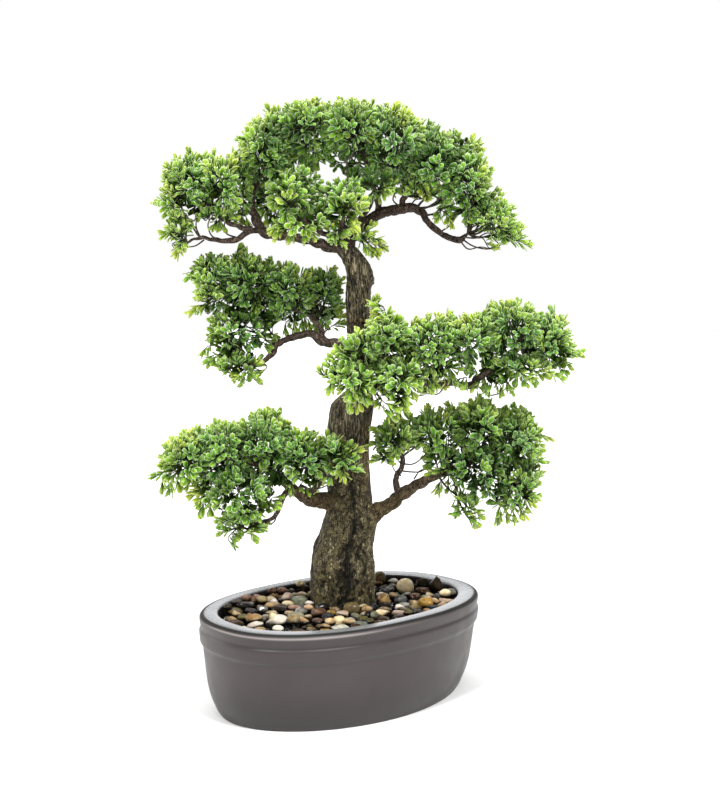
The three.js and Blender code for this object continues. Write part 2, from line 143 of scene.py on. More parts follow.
def curve_points(ctrl, step):
    """A smooth centripetal curve through control rows (x, y, z, r), resampled about every step mm."""
    c = np.asarray(ctrl, float)
    if len(c) == 2:
        n = max(2, int(math.ceil(np.linalg.norm(c[1, :3] - c[0, :3]) / step)) + 1)
        t = np.linspace(0, 1, n)[:, None]
        return c[0] * (1 - t) + c[1] * t
    ext = np.vstack([2 * c[0] - c[1], c, 2 * c[-1] - c[-2]])
    seg = np.maximum(np.linalg.norm(np.diff(ext[:, :3], axis=0), axis=1), 1e-6) ** 0.5
    knot = np.concatenate([[0.0], np.cumsum(seg)])
    out = []
    for k in range(1, len(ext) - 2):
        p0, p1, p2, p3 = ext[k - 1], ext[k], ext[k + 1], ext[k + 2]
        t0, t1, t2, t3 = knot[k - 1], knot[k], knot[k + 1], knot[k + 2]
        n = max(2, int(math.ceil(np.linalg.norm(p2[:3] - p1[:3]) / step)))
        t = np.linspace(t1, t2, n, endpoint=False)[:, None]
        a1 = (t1 - t) / (t1 - t0) * p0 + (t - t0) / (t1 - t0) * p1
        a2 = (t2 - t) / (t2 - t1) * p1 + (t - t1) / (t2 - t1) * p2
        a3 = (t3 - t) / (t3 - t2) * p2 + (t - t2) / (t3 - t2) * p3
        b1 = (t2 - t) / (t2 - t0) * a1 + (t - t0) / (t2 - t0) * a2
        b2 = (t3 - t) / (t3 - t1) * a2 + (t - t1) / (t3 - t1) * a3
        out.append((t2 - t) / (t2 - t1) * b1 + (t - t1) / (t2 - t1) * b2)
    out.append(c[-1:])
    return np.vstack(out)


# ------------------------------------------------------------------ meshes
class Builder:
    """Collects vertices, faces, per-vertex attributes and a UV, and makes one mesh object."""

    def __init__(self):
        self.co, self.quads, self.tris, self.qm, self.tm = [], [], [], [], []
        self.attr, self.uv, self.n = {}, [], 0

    def add(self, co, quads=None, tris=None, mat=0, uv=None, **attr):
        co = np.asarray(co, float).reshape(-1, 3)
        m = len(co)
        if quads is not None and len(quads):
            self.quads.append(np.asarray(quads, np.int64) + self.n)
            self.qm.append(np.full(len(quads), mat, np.int32))
        if tris is not None and len(tris):
            self.tris.append(np.asarray(tris, np.int64) + self.n)
            self.tm.append(np.full(len(tris), mat, np.int32))
        self.co.append(co)
        self.uv.append(np.zeros((m, 2)) if uv is None else np.asarray(uv, float).reshape(-1, 2))
        for k, v in attr.items():
            v = np.asarray(v, float)
            width = 1 if v.ndim < 2 else v.shape[-1]
            if v.ndim == 0:
                v = np.full(m, float(v))
            self.attr.setdefault(k, []).append((self.n, m, v.reshape(m, width)))
        self.n += m

    def make(self, name, mats, uv_name=None, space=turn, smooth_faces=True):
        co = np.vstack(self.co)
        q = np.vstack(self.quads) if self.quads else np.zeros((0, 4), np.int64)
        t = np.vstack(self.tris) if self.tris else np.zeros((0, 3), np.int64)
        me = bpy.data.meshes.new(name)
        me.vertices.add(len(co))
        me.vertices.foreach_set("co", space(co).astype(np.float32).ravel())
        loops = np.concatenate([q.ravel(), t.ravel()])
        starts = np.concatenate([np.arange(len(q)) * 4, len(q) * 4 + np.arange(len(t)) * 3])
        me.loops.add(len(loops))
        me.loops.foreach_set("vertex_index", loops.astype(np.int32))
        me.polygons.add(len(q) + len(t))
        me.polygons.foreach_set("loop_start", starts.astype(np.int32))
        midx = np.concatenate(self.qm + self.tm) if (self.qm or self.tm) else np.zeros(0, np.int32)
        me.polygons.foreach_set("material_index", midx.astype(np.int32))
        me.update(calc_edges=True)
        if uv_name:
            layer = me.uv_layers.new(name=uv_name)
            layer.data.foreach_set("uv", np.vstack(self.uv)[loops].astype(np.float32).ravel())
        for k, parts in self.attr.items():
            width = parts[0][2].shape[1]
            full = np.zeros((len(co), width))
            for s, m, v in parts:
                full[s:s + m] = v
            if width == 1:
                me.attributes.new(k, "FLOAT", "POINT").data.foreach_set("value", full.astype(np.float32).ravel())
            else:
                rgba = np.ones((len(co), 4))
                rgba[:, :width] = full
                me.attributes.new(k, "FLOAT_COLOR", "POINT").data.foreach_set("color", rgba.astype(np.float32).ravel())
        me.validate()
        if smooth_faces:
            me.shade_smooth()
        for m in mats:
            me.materials.append(m)
        ob = bpy.data.objects.new(name, me)
        scene.collection.objects.link(ob)
        return ob


def frames_along(p):
    """Tangents, normals and binormals along points p, without twist."""
    t = unit(np.gradient(p, axis=0))
    n = np.empty_like(t)
    a = np.array([0.0, 0.0, 1.0]) if abs(t[0, 2]) < 0.9 else np.array([1.0, 0.0, 0.0])
    n[0] = unit(np.cross(np.cross(t[0], a), t[0]))
    for i in range(1, len(p)):
        v = n[i - 1] - t[i] * (n[i - 1] @ t[i])
        n[i] = v / max(np.linalg.norm(v), 1e-9)
    return t, n, np.cross(t, n)


def tube_faces(rows, sides):
    i = np.arange(rows - 1)[:, None] * sides
    j = np.arange(sides)[None, :]
    a = i + j
    b = i + (j + 1) % sides
    q = np.stack([a, b, b + sides, a + sides], -1).reshape(-1, 4)
    c0, c1 = rows * sides, rows * sides + 1
    jj = np.arange(sides)
    t0 = np.stack([np.full(sides, c0), (jj + 1) % sides, jj], -1)
    base = (rows - 1) * sides
    t1 = np.stack([np.full(sides, c1), base + jj, base + (jj + 1) % sides], -1)
    return q, np.vstack([t0, t1])


def tube(points, radii, sides, ends=(0.3, 0.6)):
    """Closed tube: ring vertices, then the two end points, pushed out by ends times the radius."""
    t, n, b = frames_along(points)
    a = np.linspace(0, 2 * math.pi, sides, endpoint=False)
    r = np.asarray(radii, float)
    ring = points[:, None, :] + r[:, None, None] * (
        np.cos(a)[None, :, None] * n[:, None, :] + np.sin(a)[None, :, None] * b[:, None, :]
    )
    tips = np.stack([points[0] - t[0] * r[0] * ends[0], points[-1] + t[-1] * r[-1] * ends[1]])
    q, tr = tube_faces(len(points), sides)
    return np.vstack([ring.reshape(-1, 3), tips]), q, tr, (t, n, b, a)



# ------------------------------------------------------------------ materials
def rgb(r, g, b):
    """Screen values 0-255 to linear."""
    out = []
    for v in (r, g, b):
        v = v / 255.0
        out.append(v / 12.92 if v <= 0.04045 else ((v + 0.055) / 1.055) ** 2.4)
    return (*out, 1.0)


class Paint:
    def __init__(self, name):
        self.mat = bpy.data.materials.new(name)
        self.mat.use_nodes = True
        self.t = self.mat.node_tree
        self.t.nodes.clear()
        self.out = self.t.nodes.new("ShaderNodeOutputMaterial")
        self.bsdf = self.t.nodes.new("ShaderNodeBsdfPrincipled")
        self.t.links.new(self.bsdf.outputs[0], self.out.inputs[0])

    def put(self, socket, value):
        if isinstance(value, bpy.types.NodeSocket):
            self.t.links.new(value, socket)
        elif value is not None:
            socket.default_value = value

    def attr(self, name, out="Fac"):
        n = self.t.nodes.new("ShaderNodeAttribute")
        n.attribute_name = name
        return n.outputs[out]

    def coords(self, scale=(1, 1, 1), kind="Object", offset=None):
        c = self.t.nodes.new("ShaderNodeTexCoord")
        m = self.t.nodes.new("ShaderNodeMapping")
        self.t.links.new(c.outputs[kind], m.inputs[0])
        m.inputs["Scale"].default_value = scale
        if offset is not None:
            self.put(m.inputs["Location"], offset)
        return m.outputs[0]

    def uvmap(self, name):
        n = self.t.nodes.new("ShaderNodeUVMap")
        n.uv_map = name
        return n.outputs[0]

    def split(self, vec):
        n = self.t.nodes.new("ShaderNodeSeparateXYZ")
        self.t.links.new(vec, n.inputs[0])
        return n.outputs

    def split_rgb(self, col):
        n = self.t.nodes.new("ShaderNodeSeparateColor")
        self.t.links.new(col, n.inputs[0])
        return n.outputs

    def noise(self, vec, scale=1.0, detail=3.0, rough=0.5, distort=0.0):
        n = self.t.nodes.new("ShaderNodeTexNoise")
        self.put(n.inputs["Vector"], vec)
        n.inputs["Scale"].default_value = scale
        n.inputs["Detail"].default_value = detail
        n.inputs["Roughness"].default_value = rough
        n.inputs["Distortion"].default_value = distort
        return n.outputs[0]

    def voronoi(self, vec, scale=1.0, feature="F1", out="Distance"):
        n = self.t.nodes.new("ShaderNodeTexVoronoi")
        n.feature = feature
        self.put(n.inputs["Vector"], vec)
        n.inputs["Scale"].default_value = scale
        return n.outputs[out]

    def math(self, op, a, b=None, c=None, clamp=False):
        n = self.t.nodes.new("ShaderNodeMath")
        n.operation = op
        n.use_clamp = clamp
        for s, v in zip(n.inputs, (a, b, c)):
            self.put(s, v)
        return n.outputs[0]

    def range(self, v, a, b, lo=0.0, hi=1.0, smoothstep=True):
        n = self.t.nodes.new("ShaderNodeMapRange")
        n.interpolation_type = "SMOOTHSTEP" if smoothstep else "LINEAR"
        self.put(n.inputs[0], v)
        for i, x in zip((1, 2, 3, 4), (a, b, lo, hi)):
            n.inputs[i].default_value = x
        return n.outputs[0]

    def mix(self, f, a, b, blend="MIX"):
        n = self.t.nodes.new("ShaderNodeMix")
        n.data_type = "RGBA"
        n.blend_type = blend
        self.put(n.inputs[0], f)
        self.put(n.inputs[6], a)
        self.put(n.inputs[7], b)
        return n.outputs[2]

    def ramp(self, f, stops):
        n = self.t.nodes.new("ShaderNodeValToRGB")
        self.put(n.inputs[0], f)
        e = n.color_ramp.elements
        while len(e) > 2:
            e.remove(e[-1])
        for i, (pos, col) in enumerate(stops):
            el = e[i] if i < 2 else e.new(pos)
            el.position = pos
            el.color = col
        return n.outputs[0]

    def bump(self, height, distance=0.001, strength=1.0, normal=None):
        n = self.t.nodes.new("ShaderNodeBump")
        n.inputs["Strength"].default_value = strength
        n.inputs["Distance"].default_value = distance
        self.put(n.inputs["Height"], height)
        if normal is not None:
            self.put(n.inputs["Normal"], normal)
        return n.outputs[0]

    def set(self, **kw):
        for k, v in kw.items():
            self.put(self.bsdf.inputs[k.replace("_", " ")], v)
        return self.mat


def pot_paint():
    p = Paint("pot_matt_clay")
    o = p.coords()
    broad = p.noise(o, 22.0, 3.0, 0.5)
    fine = p.noise(o, 900.0, 2.0, 0.6)
    base = p.ramp(broad, [(0.30, rgb(47, 40, 39)), (0.50, rgb(52, 45, 44)), (0.72, rgb(57, 50, 49))])
    base = p.mix(p.range(fine, 0.35, 0.75, 0.0, 0.22), base, rgb(50, 44, 43))
    # painted shade: darker towards the foot
    height = p.split(o)[2]
    base = p.mix(p.range(height, 0.030, 0.004, 0.0, 0.62), base, rgb(36, 30, 30))
    # sparse pale flecks of dust and tiny pits in the glaze
    fleck = p.range(p.voronoi(o, 150.0), 0.05, 0.02)
    pick = p.range(p.noise(o, 60.0, 1.0), 0.64, 0.72)
    base = p.mix(p.math("MULTIPLY", p.math("MULTIPLY", fleck, pick), 0.6), base, rgb(176, 168, 160))
    # painted reflection: the rim's top is painted pale as if it mirrored the bright surroundings; it is also smoother
    edge = p.attr("edge")
    base = p.mix(p.math("MULTIPLY", edge, p.range(p.noise(o, 60.0, 3.0), 0.3, 0.7, 0.90, 1.0)), base, rgb(202, 204, 208))
    # painted dark reflection along the rim's outer round
    base = p.mix(p.math("MULTIPLY", p.attr("brow"), 0.95), base, rgb(12, 10, 10))
    # painted shade in the grooves, on the ends of the wall and on one end of the rim's top
    base = p.mix(p.math("MULTIPLY", p.attr("groove"), 0.66), base, rgb(24, 19, 18))
    base = p.mix(p.math("MULTIPLY", p.attr("gleam"), 0.70), base, rgb(156, 148, 145))
    # painted shade inside the opening: the inner round and inner wall are painted near-black
    base = p.mix(p.math("MULTIPLY", p.attr("inside"), 0.9), base, rgb(20, 18, 18))
    rough = p.range(p.noise(o, 75.0, 4.0, 0.6), 0.3, 0.7, 0.36, 0.46)
    rough = p.math("SUBTRACT", rough, p.math("MULTIPLY", edge, 0.16))
    rough = p.math("ADD", rough, p.math("MULTIPLY", p.attr("brow"), 0.22))
    h = p.math("ADD", p.math("MULTIPLY", fine, 0.5), p.math("MULTIPLY", p.noise(o, 260.0, 2.0), 0.6))
    h = p.math("MULTIPLY", h, p.range(edge, 0.0, 1.0, 1.0, 0.12))
    return p.set(Base_Color=base, Roughness=rough, Normal=p.bump(h, 0.00012, 0.5), IOR=1.5,
                 Metallic=p.math("MULTIPLY", edge, 0.62), Coat_Weight=p.math("MULTIPLY", edge, 0.3), Coat_Roughness=0.16)


def bark_paint(name, crack, dark, mid, light, pale, olive, scale=1.0, along=0.42):
    p = Paint(name)
    o = p.coords()
    cav = p.attr("cav")
    low = p.attr("low")
    deep = p.attr("deep")
    k = 500.0 * scale
    # torn fibres that swirl, in two sizes, then grit
    fib = p.noise(p.coords(scale=(k, k, k * along)), 1.0, 4.0, 0.62, 3.2)
    fib2 = p.noise(p.coords(scale=(k * 0.36, k * 0.36, k * 0.24), offset=(3.1, 7.7, 1.3)), 1.0, 3.0, 0.6, 1.6)
    both = p.math("ADD", p.math("MULTIPLY", fib, 0.66), p.math("MULTIPLY", fib2, 0.34))
    # higher up the fibres lie longer and straighter
    fib3 = p.noise(p.coords(scale=(k * 1.5, k * 1.5, k * 0.27), offset=(5.3, 2.1, 8.4)), 1.0, 4.0, 0.6, 0.9)
    upper = p.range(low, 0.40, 0.02, 0.0, 0.70)
    both = p.math("ADD", p.math("MULTIPLY", both, p.math("SUBTRACT", 1.0, upper)), p.math("MULTIPLY", fib3, upper))
    base = p.ramp(both, [(0.410, crack), (0.455, dark), (0.510, mid), (0.575, light), (0.66, pale)])
    sharp = p.range(both, 0.42, 0.62)
    # broad stains: purplish brown here, olive there
    stain = p.noise(o, 38.0, 3.0, 0.55)
    base = p.mix(p.range(stain, 0.50, 0.64, 0.0, 0.42), base, p.mix(sharp, rgb(22, 17, 16), rgb(118, 102, 92)))
    patch = p.noise(o, 62.0, 4.0, 0.6)
    base = p.mix(p.range(patch, 0.46, 0.64, 0.0, 0.40), base, p.mix(sharp, crack, light))
    warm_at = p.math("MULTIPLY", p.range(p.noise(o, 80.0, 3.0, 0.6), 0.44, 0.62), p.math("ADD", p.math("MULTIPLY", low, 0.65), 0.15))
    base = p.mix(p.math("MULTIPLY", warm_at, 0.60), base, p.mix(sharp, dark, olive))
    # ochre flecks of torn bark, and pits beside them
    vec = p.coords(scale=(1.0, 1.0, 0.55))
    fl = p.range(p.voronoi(vec, 420.0), 0.30, 0.12)
    pick = p.math("MULTIPLY", fl, p.range(p.noise(o, 230.0, 2.0), 0.53, 0.60))
    base = p.mix(p.math("MULTIPLY", pick, p.math("ADD", p.math("MULTIPLY", low, 0.62), 0.22)), base, pale)
    pit = p.math("MULTIPLY", p.range(p.voronoi(vec, 300.0), 0.34, 0.10), p.range(p.noise(o, 170.0, 2.0), 0.52, 0.58))
    base = p.mix(p.math("MULTIPLY", pit, 0.75), base, crack)
    base = p.mix(p.math("MULTIPLY", p.attr("root"), 0.55, clamp=True), base, p.mix(sharp, dark, rgb(184, 150, 92)))
    # painted highlight on the bark's ridges and painted shade in its hollows, by cav
    base = p.mix(p.range(cav, 0.55, 0.95, 0.0, 0.40), base, light)
    black = (crack[0] * 0.6, crack[1] * 0.6, crack[2] * 0.65, 1.0)
    base = p.mix(p.range(cav, 0.47, 0.14, 0.0, 0.85), base, black)
    # painted shade deep in the trunk's middle channel and under the torn ring
    base = p.mix(p.math("MULTIPLY", deep, p.range(both, 0.62, 0.44, 0.30, 0.95)), base, black)
    # the upper stem is paler and greyer
    base = p.mix(p.range(low, 0.50, 0.02), base, (1.27, 1.27, 1.46, 1.0), "MULTIPLY")
    rough = p.range(p.noise(o, 300.0, 3.0), 0.3, 0.7, 0.42, 0.74)
    h = p.math("ADD", fib, p.math("MULTIPLY", fib2, 0.8))
    return p.set(Base_Color=base, Roughness=rough, Normal=p.bump(h, 0.0011, 1.0), IOR=1.45, Specular_IOR_Level=0.18)


def leaf_paint():
    p = Paint("leaf_green")
    u, v, _ = p.split(p.uvmap("leaf"))
    # tint: the leaf's own number; young leaves plus painted light at the outline and on lit clumps; painted shade
    tint = p.split_rgb(p.attr("tint", "Color"))       # random, young, shade
    o = p.coords()
    au = p.math("ABSOLUTE", u)
    # blade: bluish to yellow-green by the leaf's own number; young leaves, and painted light at the outline and on lit
    # clumps, brighter
    base = p.ramp(tint[0], [(0.0, rgb(74, 152, 70)), (0.32, rgb(86, 164, 34)), (0.65, rgb(114, 186, 24)), (1.0, rgb(150, 206, 28))])
    base = p.mix(tint[1], base, rgb(196, 218, 48))
    # darker heart and foot, paler outer blade
    foot = p.range(v, 0.62, 0.10)
    base = p.mix(p.math("MULTIPLY", foot, 0.92), base, rgb(12, 40, 2))
    heart = p.math("MULTIPLY", p.range(au, 0.60, 0.10), p.range(v, 0.98, 0.45))
    base = p.mix(p.math("MULTIPLY", heart, 0.66), base, rgb(28, 84, 2))
    # side veins
    ang = p.math("SUBTRACT", p.math("MULTIPLY", v, 38.0), p.math("MULTIPLY", au, 10.0))
    vein = p.range(p.math("SINE", ang), 0.55, 1.0)
    base = p.mix(p.math("MULTIPLY", vein, 0.16), base, rgb(160, 200, 110))
    # midrib and pale margin; the margin is partly the leaf's own paler edge and partly painted highlight
    rib = p.math("MULTIPLY", p.range(au, 0.16, 0.04), p.range(v, 0.97, 0.60))
    base = p.mix(p.math("MULTIPLY", rib, 0.55), base, rgb(176, 210, 126))
    base = p.mix(p.math("MULTIPLY", p.range(v, 0.50, 1.0), p.math("ADD", p.math("MULTIPLY", tint[1], 0.45), 0.24)), base, rgb(206, 222, 92))
    rim = p.math("MAXIMUM", p.math("MULTIPLY", p.range(au, 0.60, 0.90), p.range(v, 0.16, 0.42)), p.range(v, 0.87, 0.98))
    pale = p.mix(tint[1], rgb(240, 252, 218), rgb(252, 252, 184))
    base = p.mix(p.math("MULTIPLY", rim, p.math("ADD", p.math("MULTIPLY", tint[1], 0.22), 0.76)), base, pale)
    blot = p.noise(o, 420.0, 3.0, 0.6)
    base = p.mix(p.range(blot, 0.3, 0.72, 0.0, 0.20), base, rgb(46, 98, 34))
    base = p.mix(p.math("MULTIPLY", tint[2], 0.90), base, rgb(12, 34, 0))
    rough = p.range(blot, 0.3, 0.7, 0.36, 0.50)
    h = p.math("ADD", p.math("MULTIPLY", vein, 0.5), p.math("MULTIPLY", rib, -1.0))
    return p.set(Base_Color=base, Roughness=rough, Normal=p.bump(h, 0.00012, 0.7), IOR=1.45, Specular_IOR_Level=0.08)


def twig_paint():
    p = Paint("twig_dark")
    o = p.coords()
    g = p.attr("green")
    n = p.noise(o, 500.0, 3.0, 0.6)
    fine = p.noise(p.coords(scale=(900.0, 900.0, 900.0)), 1.0, 4.0, 0.7, 0.8)
    n = p.math("ADD", p.math("MULTIPLY", n, 0.5), p.math("MULTIPLY", fine, 0.5))
    bark = p.ramp(n, [(0.36, rgb(22, 17, 14)), (0.47, rgb(56, 46, 40)), (0.55, rgb(86, 72, 62)), (0.66, rgb(140, 122, 106))])
    green = p.ramp(n, [(0.34, rgb(12, 26, 4)), (0.52, rgb(26, 50, 10)), (0.70, rgb(60, 96, 24))])
    base = p.mix(g, bark, green)
    rough = p.range(n, 0.3, 0.7, 0.42, 0.62)
    return p.set(Base_Color=base, Roughness=rough, Normal=p.bump(n, 0.0002, 0.6), IOR=1.45, Specular_IOR_Level=0.22)


def stone_paint(name="pebble_stone"):
    p = Paint(name)
    o = p.coords()
    a = p.attr("stone", "Color")
    b = p.attr("stone2", "Color")
    k = p.split_rgb(p.attr("kind", "Color"))            # number, vein, speckle
    shift = p.t.nodes.new("ShaderNodeCombineXYZ")
    for s in shift.inputs:
        p.put(s, p.math("MULTIPLY", k[0], 0.37))
    vec = p.t.nodes.new("ShaderNodeVectorMath")
    vec.operation = "ADD"
    p.t.links.new(o, vec.inputs[0])
    p.t.links.new(shift.outputs[0], vec.inputs[1])
    v = vec.outputs[0]
    big = p.noise(v, 210.0, 3.0, 0.55, 0.8)
    base = p.mix(p.range(big, 0.40, 0.62), a, b)
    vein = p.math("MULTIPLY", p.range(p.math("ABSOLUTE", p.math("SUBTRACT", p.noise(v, 150.0, 2.0, 0.5, 1.5), 0.5)), 0.035, 0.0), k[1])
    base = p.mix(p.math("MULTIPLY", vein, 0.75), base, rgb(222, 208, 184))
    spk = p.math("MULTIPLY", p.range(p.noise(v, 1400.0, 2.0, 0.6), 0.56, 0.66), k[2])
    base = p.mix(p.math("MULTIPLY", spk, 0.5), base, rgb(52, 44, 38))
    fine = p.noise(v, 900.0, 3.0, 0.6)
    base = p.mix(p.range(fine, 0.3, 0.7, 0.0, 0.18), base, rgb(60, 48, 36))
    # painted shade low on each stone and deep in the bed
    base = p.mix(p.math("MULTIPLY", p.attr("sink"), 0.97), base, rgb(6, 4, 3))
    rough = p.range(fine, 0.3, 0.7, 0.16, 0.30)
    h = p.math("ADD", fine, p.math("MULTIPLY", big, 1.2))
    return p.set(Base_Color=base, Roughness=rough, Normal=p.bump(h, 0.00022, 0.7), IOR=1.5, Specular_IOR_Level=0.08, Coat_Weight=0.32, Coat_Roughness=0.05)


def filler_paint():
    p = Paint("filler_dark")
    o = p.coords()
    n = p.noise(o, 260.0, 4.0, 0.65)
    # painted shade: near-black, so the gaps between the stones show as deep shadow
    base = p.ramp(n, [(0.3, rgb(18, 14, 11)), (0.55, rgb(38, 30, 24)), (0.8, rgb(66, 54, 42))])
    return p.set(Base_Color=base, Roughness=p.range(n, 0.3, 0.7, 0.85, 0.98), Normal=p.bump(n, 0.0012, 1.0))


M_POT = pot_paint()
M_BARK = bark_paint("trunk_bark", rgb(16, 14, 9), rgb(46, 42, 29), rgb(82, 75, 55), rgb(124, 114, 86), rgb(200, 186, 144), rgb(118, 106, 50), 1.0, 0.62)
M_LIMB = bark_paint("limb_bark", rgb(16, 13, 8), rgb(46, 38, 26), rgb(80, 68, 48), rgb(116, 101, 74), rgb(180, 162, 118), rgb(112, 92, 42), 1.1, 0.6)
M_DARK = bark_paint("limb_dark", rgb(16, 12, 10), rgb(38, 30, 26), rgb(64, 52, 44), rgb(94, 78, 64), rgb(140, 120, 98), rgb(70, 56, 38), 1.4, 0.4)
M_TWIG = twig_paint()
M_LEAF = leaf_paint()
M_STONE = stone_paint()
M_FILL = filler_paint()



# ------------------------------------------------------------------ pot
RIM = (107.5, 72.4)
OPENING = (94.6, 62.2)
OVAL = 2.3
SEG = 224
GROW = 1.2


def identity(p):
    return np.asarray(p, float) * 0.001


def oval(a, b, n, power=OVAL):
    t = np.linspace(0, 2 * math.pi, 4096, endpoint=False)
    c, s = np.cos(t), np.sin(t)
    x = np.sign(c) * a * np.abs(c) ** (2 / power)
    y = np.sign(s) * b * np.abs(s) ** (2 / power)
    # even spacing round the oval, the same phase for every ring
    xs, ys = np.append(x, x[0]), np.append(y, y[0])
    run = np.concatenate([[0], np.cumsum(np.hypot(np.diff(xs), np.diff(ys)))])
    at = np.linspace(0, run[-1], n, endpoint=False)
    return np.interp(at, run, xs), np.interp(at, run, ys)


def pot_profile():
    """Rows of (height, scale of the rim's outer edge, outward offset, edge: painted rim reflection and gloss)."""
    rows = []
    wall = ([0.0, 0.5, 1.5, 3.0, 5.0, 8.0, 11.0, 15.0, 22.0, 30.0, 38.0, 46.4],
            [0.8935, 0.9000, 0.9075, 0.9160, 0.9248, 0.9372, 0.9480, 0.9590, 0.9700, 0.9765, 0.9815, 0.9865])

    def fit(z):
        return pchip(wall[0], wall[1], [z])[0]
    for z in (0.0, 0.15, 0.35, 0.6, 0.95, 1.4, 2.0, 2.8, 3.8, 5.0, 6.4):
        rows.append((z, float(fit(z)), 0.0, 0.0))
    for z in np.linspace(8.2, 45.0, 19):
        rows.append((z, float(fit(z)), 0.0, 0.0))
    s1 = float(fit(46.4))
    band = [(46.0, s1, 0.02), (46.8, 0.9895, 0.04), (47.6, 0.9935, 0.12), (48.4, 0.9972, 0.24), (49.2, 0.9993, 0.36), (50.0, 1.0, 0.42),
            (51.0, 1.0, 0.46), (52.2, 1.0, 0.52), (53.4, 1.0, 0.58), (54.6, 1.0, 0.62), (55.6, 1.0, 0.60), (56.3, 1.0, 0.48),
            (56.9, 1.0, 0.22), (57.4, 1.0, -0.10), (57.9, 1.0, -0.34), (58.4, 1.0, -0.44), (59.0, 1.0, -0.42), (59.8, 1.0, -0.32),
            (60.8, 1.0, -0.14), (61.8, 1.0, 0.04), (62.8, 1.0, 0.18), (63.8, 1.0, 0.26)]
    for z, s, d in band:
        rows.append((z, s, d, 0.0))
    for k in range(10):                              # rim's outer round
        a = math.pi / 2 * k / 9
        rows.append((64.5 + 2.6 * math.sin(a), 1.0, 0.28 - 2.6 + 2.6 * math.cos(a), (0.0, 0.20, 0.40)[max(0, k - 7)]))
    return rows


def make_pot():
    b = Builder()
    rings, edge, inside, brow, groove, gleam = [], [], [], [], [], []
    nx, ny = RIM
    for z, s, d, e in pot_profile():
        x, y = oval(nx * s + d + GROW, ny * s + d + GROW, SEG, OVAL - 0.34 * max(0.0, 56.0 - z) / 56.0)
        # cast a little askew: the rim stands to one side of the foot
        low = max(0.0, 56.0 - z) / 56.0
        lean, fore = 1.3 - 0.55 * low, 2.5 * low
        rings.append(np.stack([x + 0.749 * lean - 0.663 * fore, y - 0.663 * lean - 0.749 * fore, np.full(SEG, z)], -1))
        edge.append(e)
        inside.append(0.0)
        # painted dark reflection: the rounding's dark band is broader towards the pot's ends
        end = (np.abs(x) / np.abs(x).max()) ** 2
        front = smooth(0.55, 0.95, (-0.663 * x / nx - 0.749 * y / ny)) * (1 - end)
        brow.append(smooth(65.3 - 0.3 * end + 0.7 * front, 66.0 - 0.3 * end + 0.6 * front, z) * np.ones(SEG))
        # painted shade: the groove under the lip, the band's foot, the band at the ends and the ends of the lower wall
        groove.append(0.60 * math.exp(-((z - 58.2) / 0.75) ** 2) + 0.28 * math.exp(-((z - 46.2) / 1.0) ** 2)
                      + (0.08 + 0.14 * end) * float(smooth(46.0, 50.0, z) * smooth(66.0, 62.0, z)) + 0.92 * end * float(smooth(38.0, 8.0, z)))
        near = smooth(0.62, 0.97, (-0.86 * x / nx - 0.51 * y / ny))
        gleam.append(near * math.exp(-((z - 65.0) / 0.6) ** 2) + 0.35 * front * math.exp(-((z - 65.1) / 0.6) ** 2))
    for f in (0.12, 0.3, 0.5, 0.75):                 # the rim's top, very slightly crowned
        a, c = RIM[0] - 2.32 + GROW, RIM[1] - 2.32 + GROW
        ia, ic = OPENING[0] + 1.4, OPENING[1] + 1.4
        x, y = oval(a + (ia - a) * f, c + (ic - c) * f, SEG)
        rings.append(np.stack([x + 0.749 * 1.3 * (1 - f), y - 0.663 * 1.3 * (1 - f), np.full(SEG, 67.1 + 0.10 * math.sin(math.pi * f))], -1))
        # edge: the rim's top is painted pale as a reflection, and made glossier
        edge.append(min(1.0, 0.62 + 0.9 * f))
        inside.append(0.0)
        # painted shade on one end of the rim's top
        groove.append(0.22 * smooth(0.2, 0.9, -0.75 * x / a + 0.66 * y / c))
        # the painted dark reflection of the outer round reaches a little way onto the top, at its front
        lit = smooth(0.35, 0.85, (-0.663 * x / a - 0.749 * y / c))
        brow.append(0.55 * lit if f < 0.2 else (0.12 * lit if f < 0.4 else np.zeros(SEG)))
    for k in range(6):                               # the rim's inner round
        a = math.pi / 2 * k / 5
        x, y = oval(OPENING[0] + 1.4 - 1.4 * math.sin(a), OPENING[1] + 1.4 - 1.4 * math.sin(a), SEG)
        rings.append(np.stack([x, y, np.full(SEG, 67.1 - 1.4 + 1.4 * math.cos(a))], -1))
        edge.append(1.0 - 0.2 * k)
        inside.append(k / 5.0 * 0.6)
    # the inner wall: its rings get inside = 1, painted near-black as shade
    for z, s in [(64.0, 0.999), (60.0, 0.995), (54.0, 0.99), (42.0, 0.972), (30.0, 0.95), (20.0, 0.919), (12.0, 0.885), (9.0, 0.862), (7.7, 0.84), (7.5, 0.80)]:
        x, y = oval(OPENING[0] * s, OPENING[1] * s, SEG)
        rings.append(np.stack([x, y, np.full(SEG, z)], -1))
        edge.append(0.0)
        inside.append(1.0)
    brow = np.vstack(brow + [np.zeros(SEG)] * (len(rings) - len(brow)))
    groove = np.vstack(groove + [np.zeros(SEG)] * (len(rings) - len(groove)))
    gleam = np.vstack(gleam + [np.zeros(SEG)] * (len(rings) - len(gleam)))
    co = np.vstack(rings)
    # a hand-cast body is never dead true
    wob = fbm(co * np.array([0.012, 0.012, 0.03]), 11, 2) * 0.22
    out = unit(np.stack([co[:, 0], co[:, 1] * 1.6, np.zeros(len(co))], -1))
    co = co + out * (wob * smooth(0.5, 6.0, co[:, 2]))[:, None]
    rows = len(rings)
    q, t = tube_faces(rows, SEG)
    tips = np.array([[0, 0, 0.0], [0, 0, 7.5]])
    b.add(np.vstack([co, tips]), quads=q, tris=t, edge=np.append(np.repeat(edge, SEG), [0, 0]),
          inside=np.append(np.repeat(inside, SEG), [0, 1]), brow=np.append(brow.ravel(), [0, 0]),
          groove=np.append(groove.ravel(), [0, 0]), gleam=np.append(gleam.ravel(), [0, 0]))
    ob = b.make("pot_shell", [M_POT], space=identity)
    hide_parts("pot")
    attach(ob, "root")
    return ob


def pot_inner(z):
    zs = [7.5, 12.0, 30.0, 54.0, 66.4, 67.2]
    ss = [0.82, 0.885, 0.95, 0.99, 1.0, 1.004]
    s = np.interp(z, zs, ss)
    return OPENING[0] * s, OPENING[1] * s


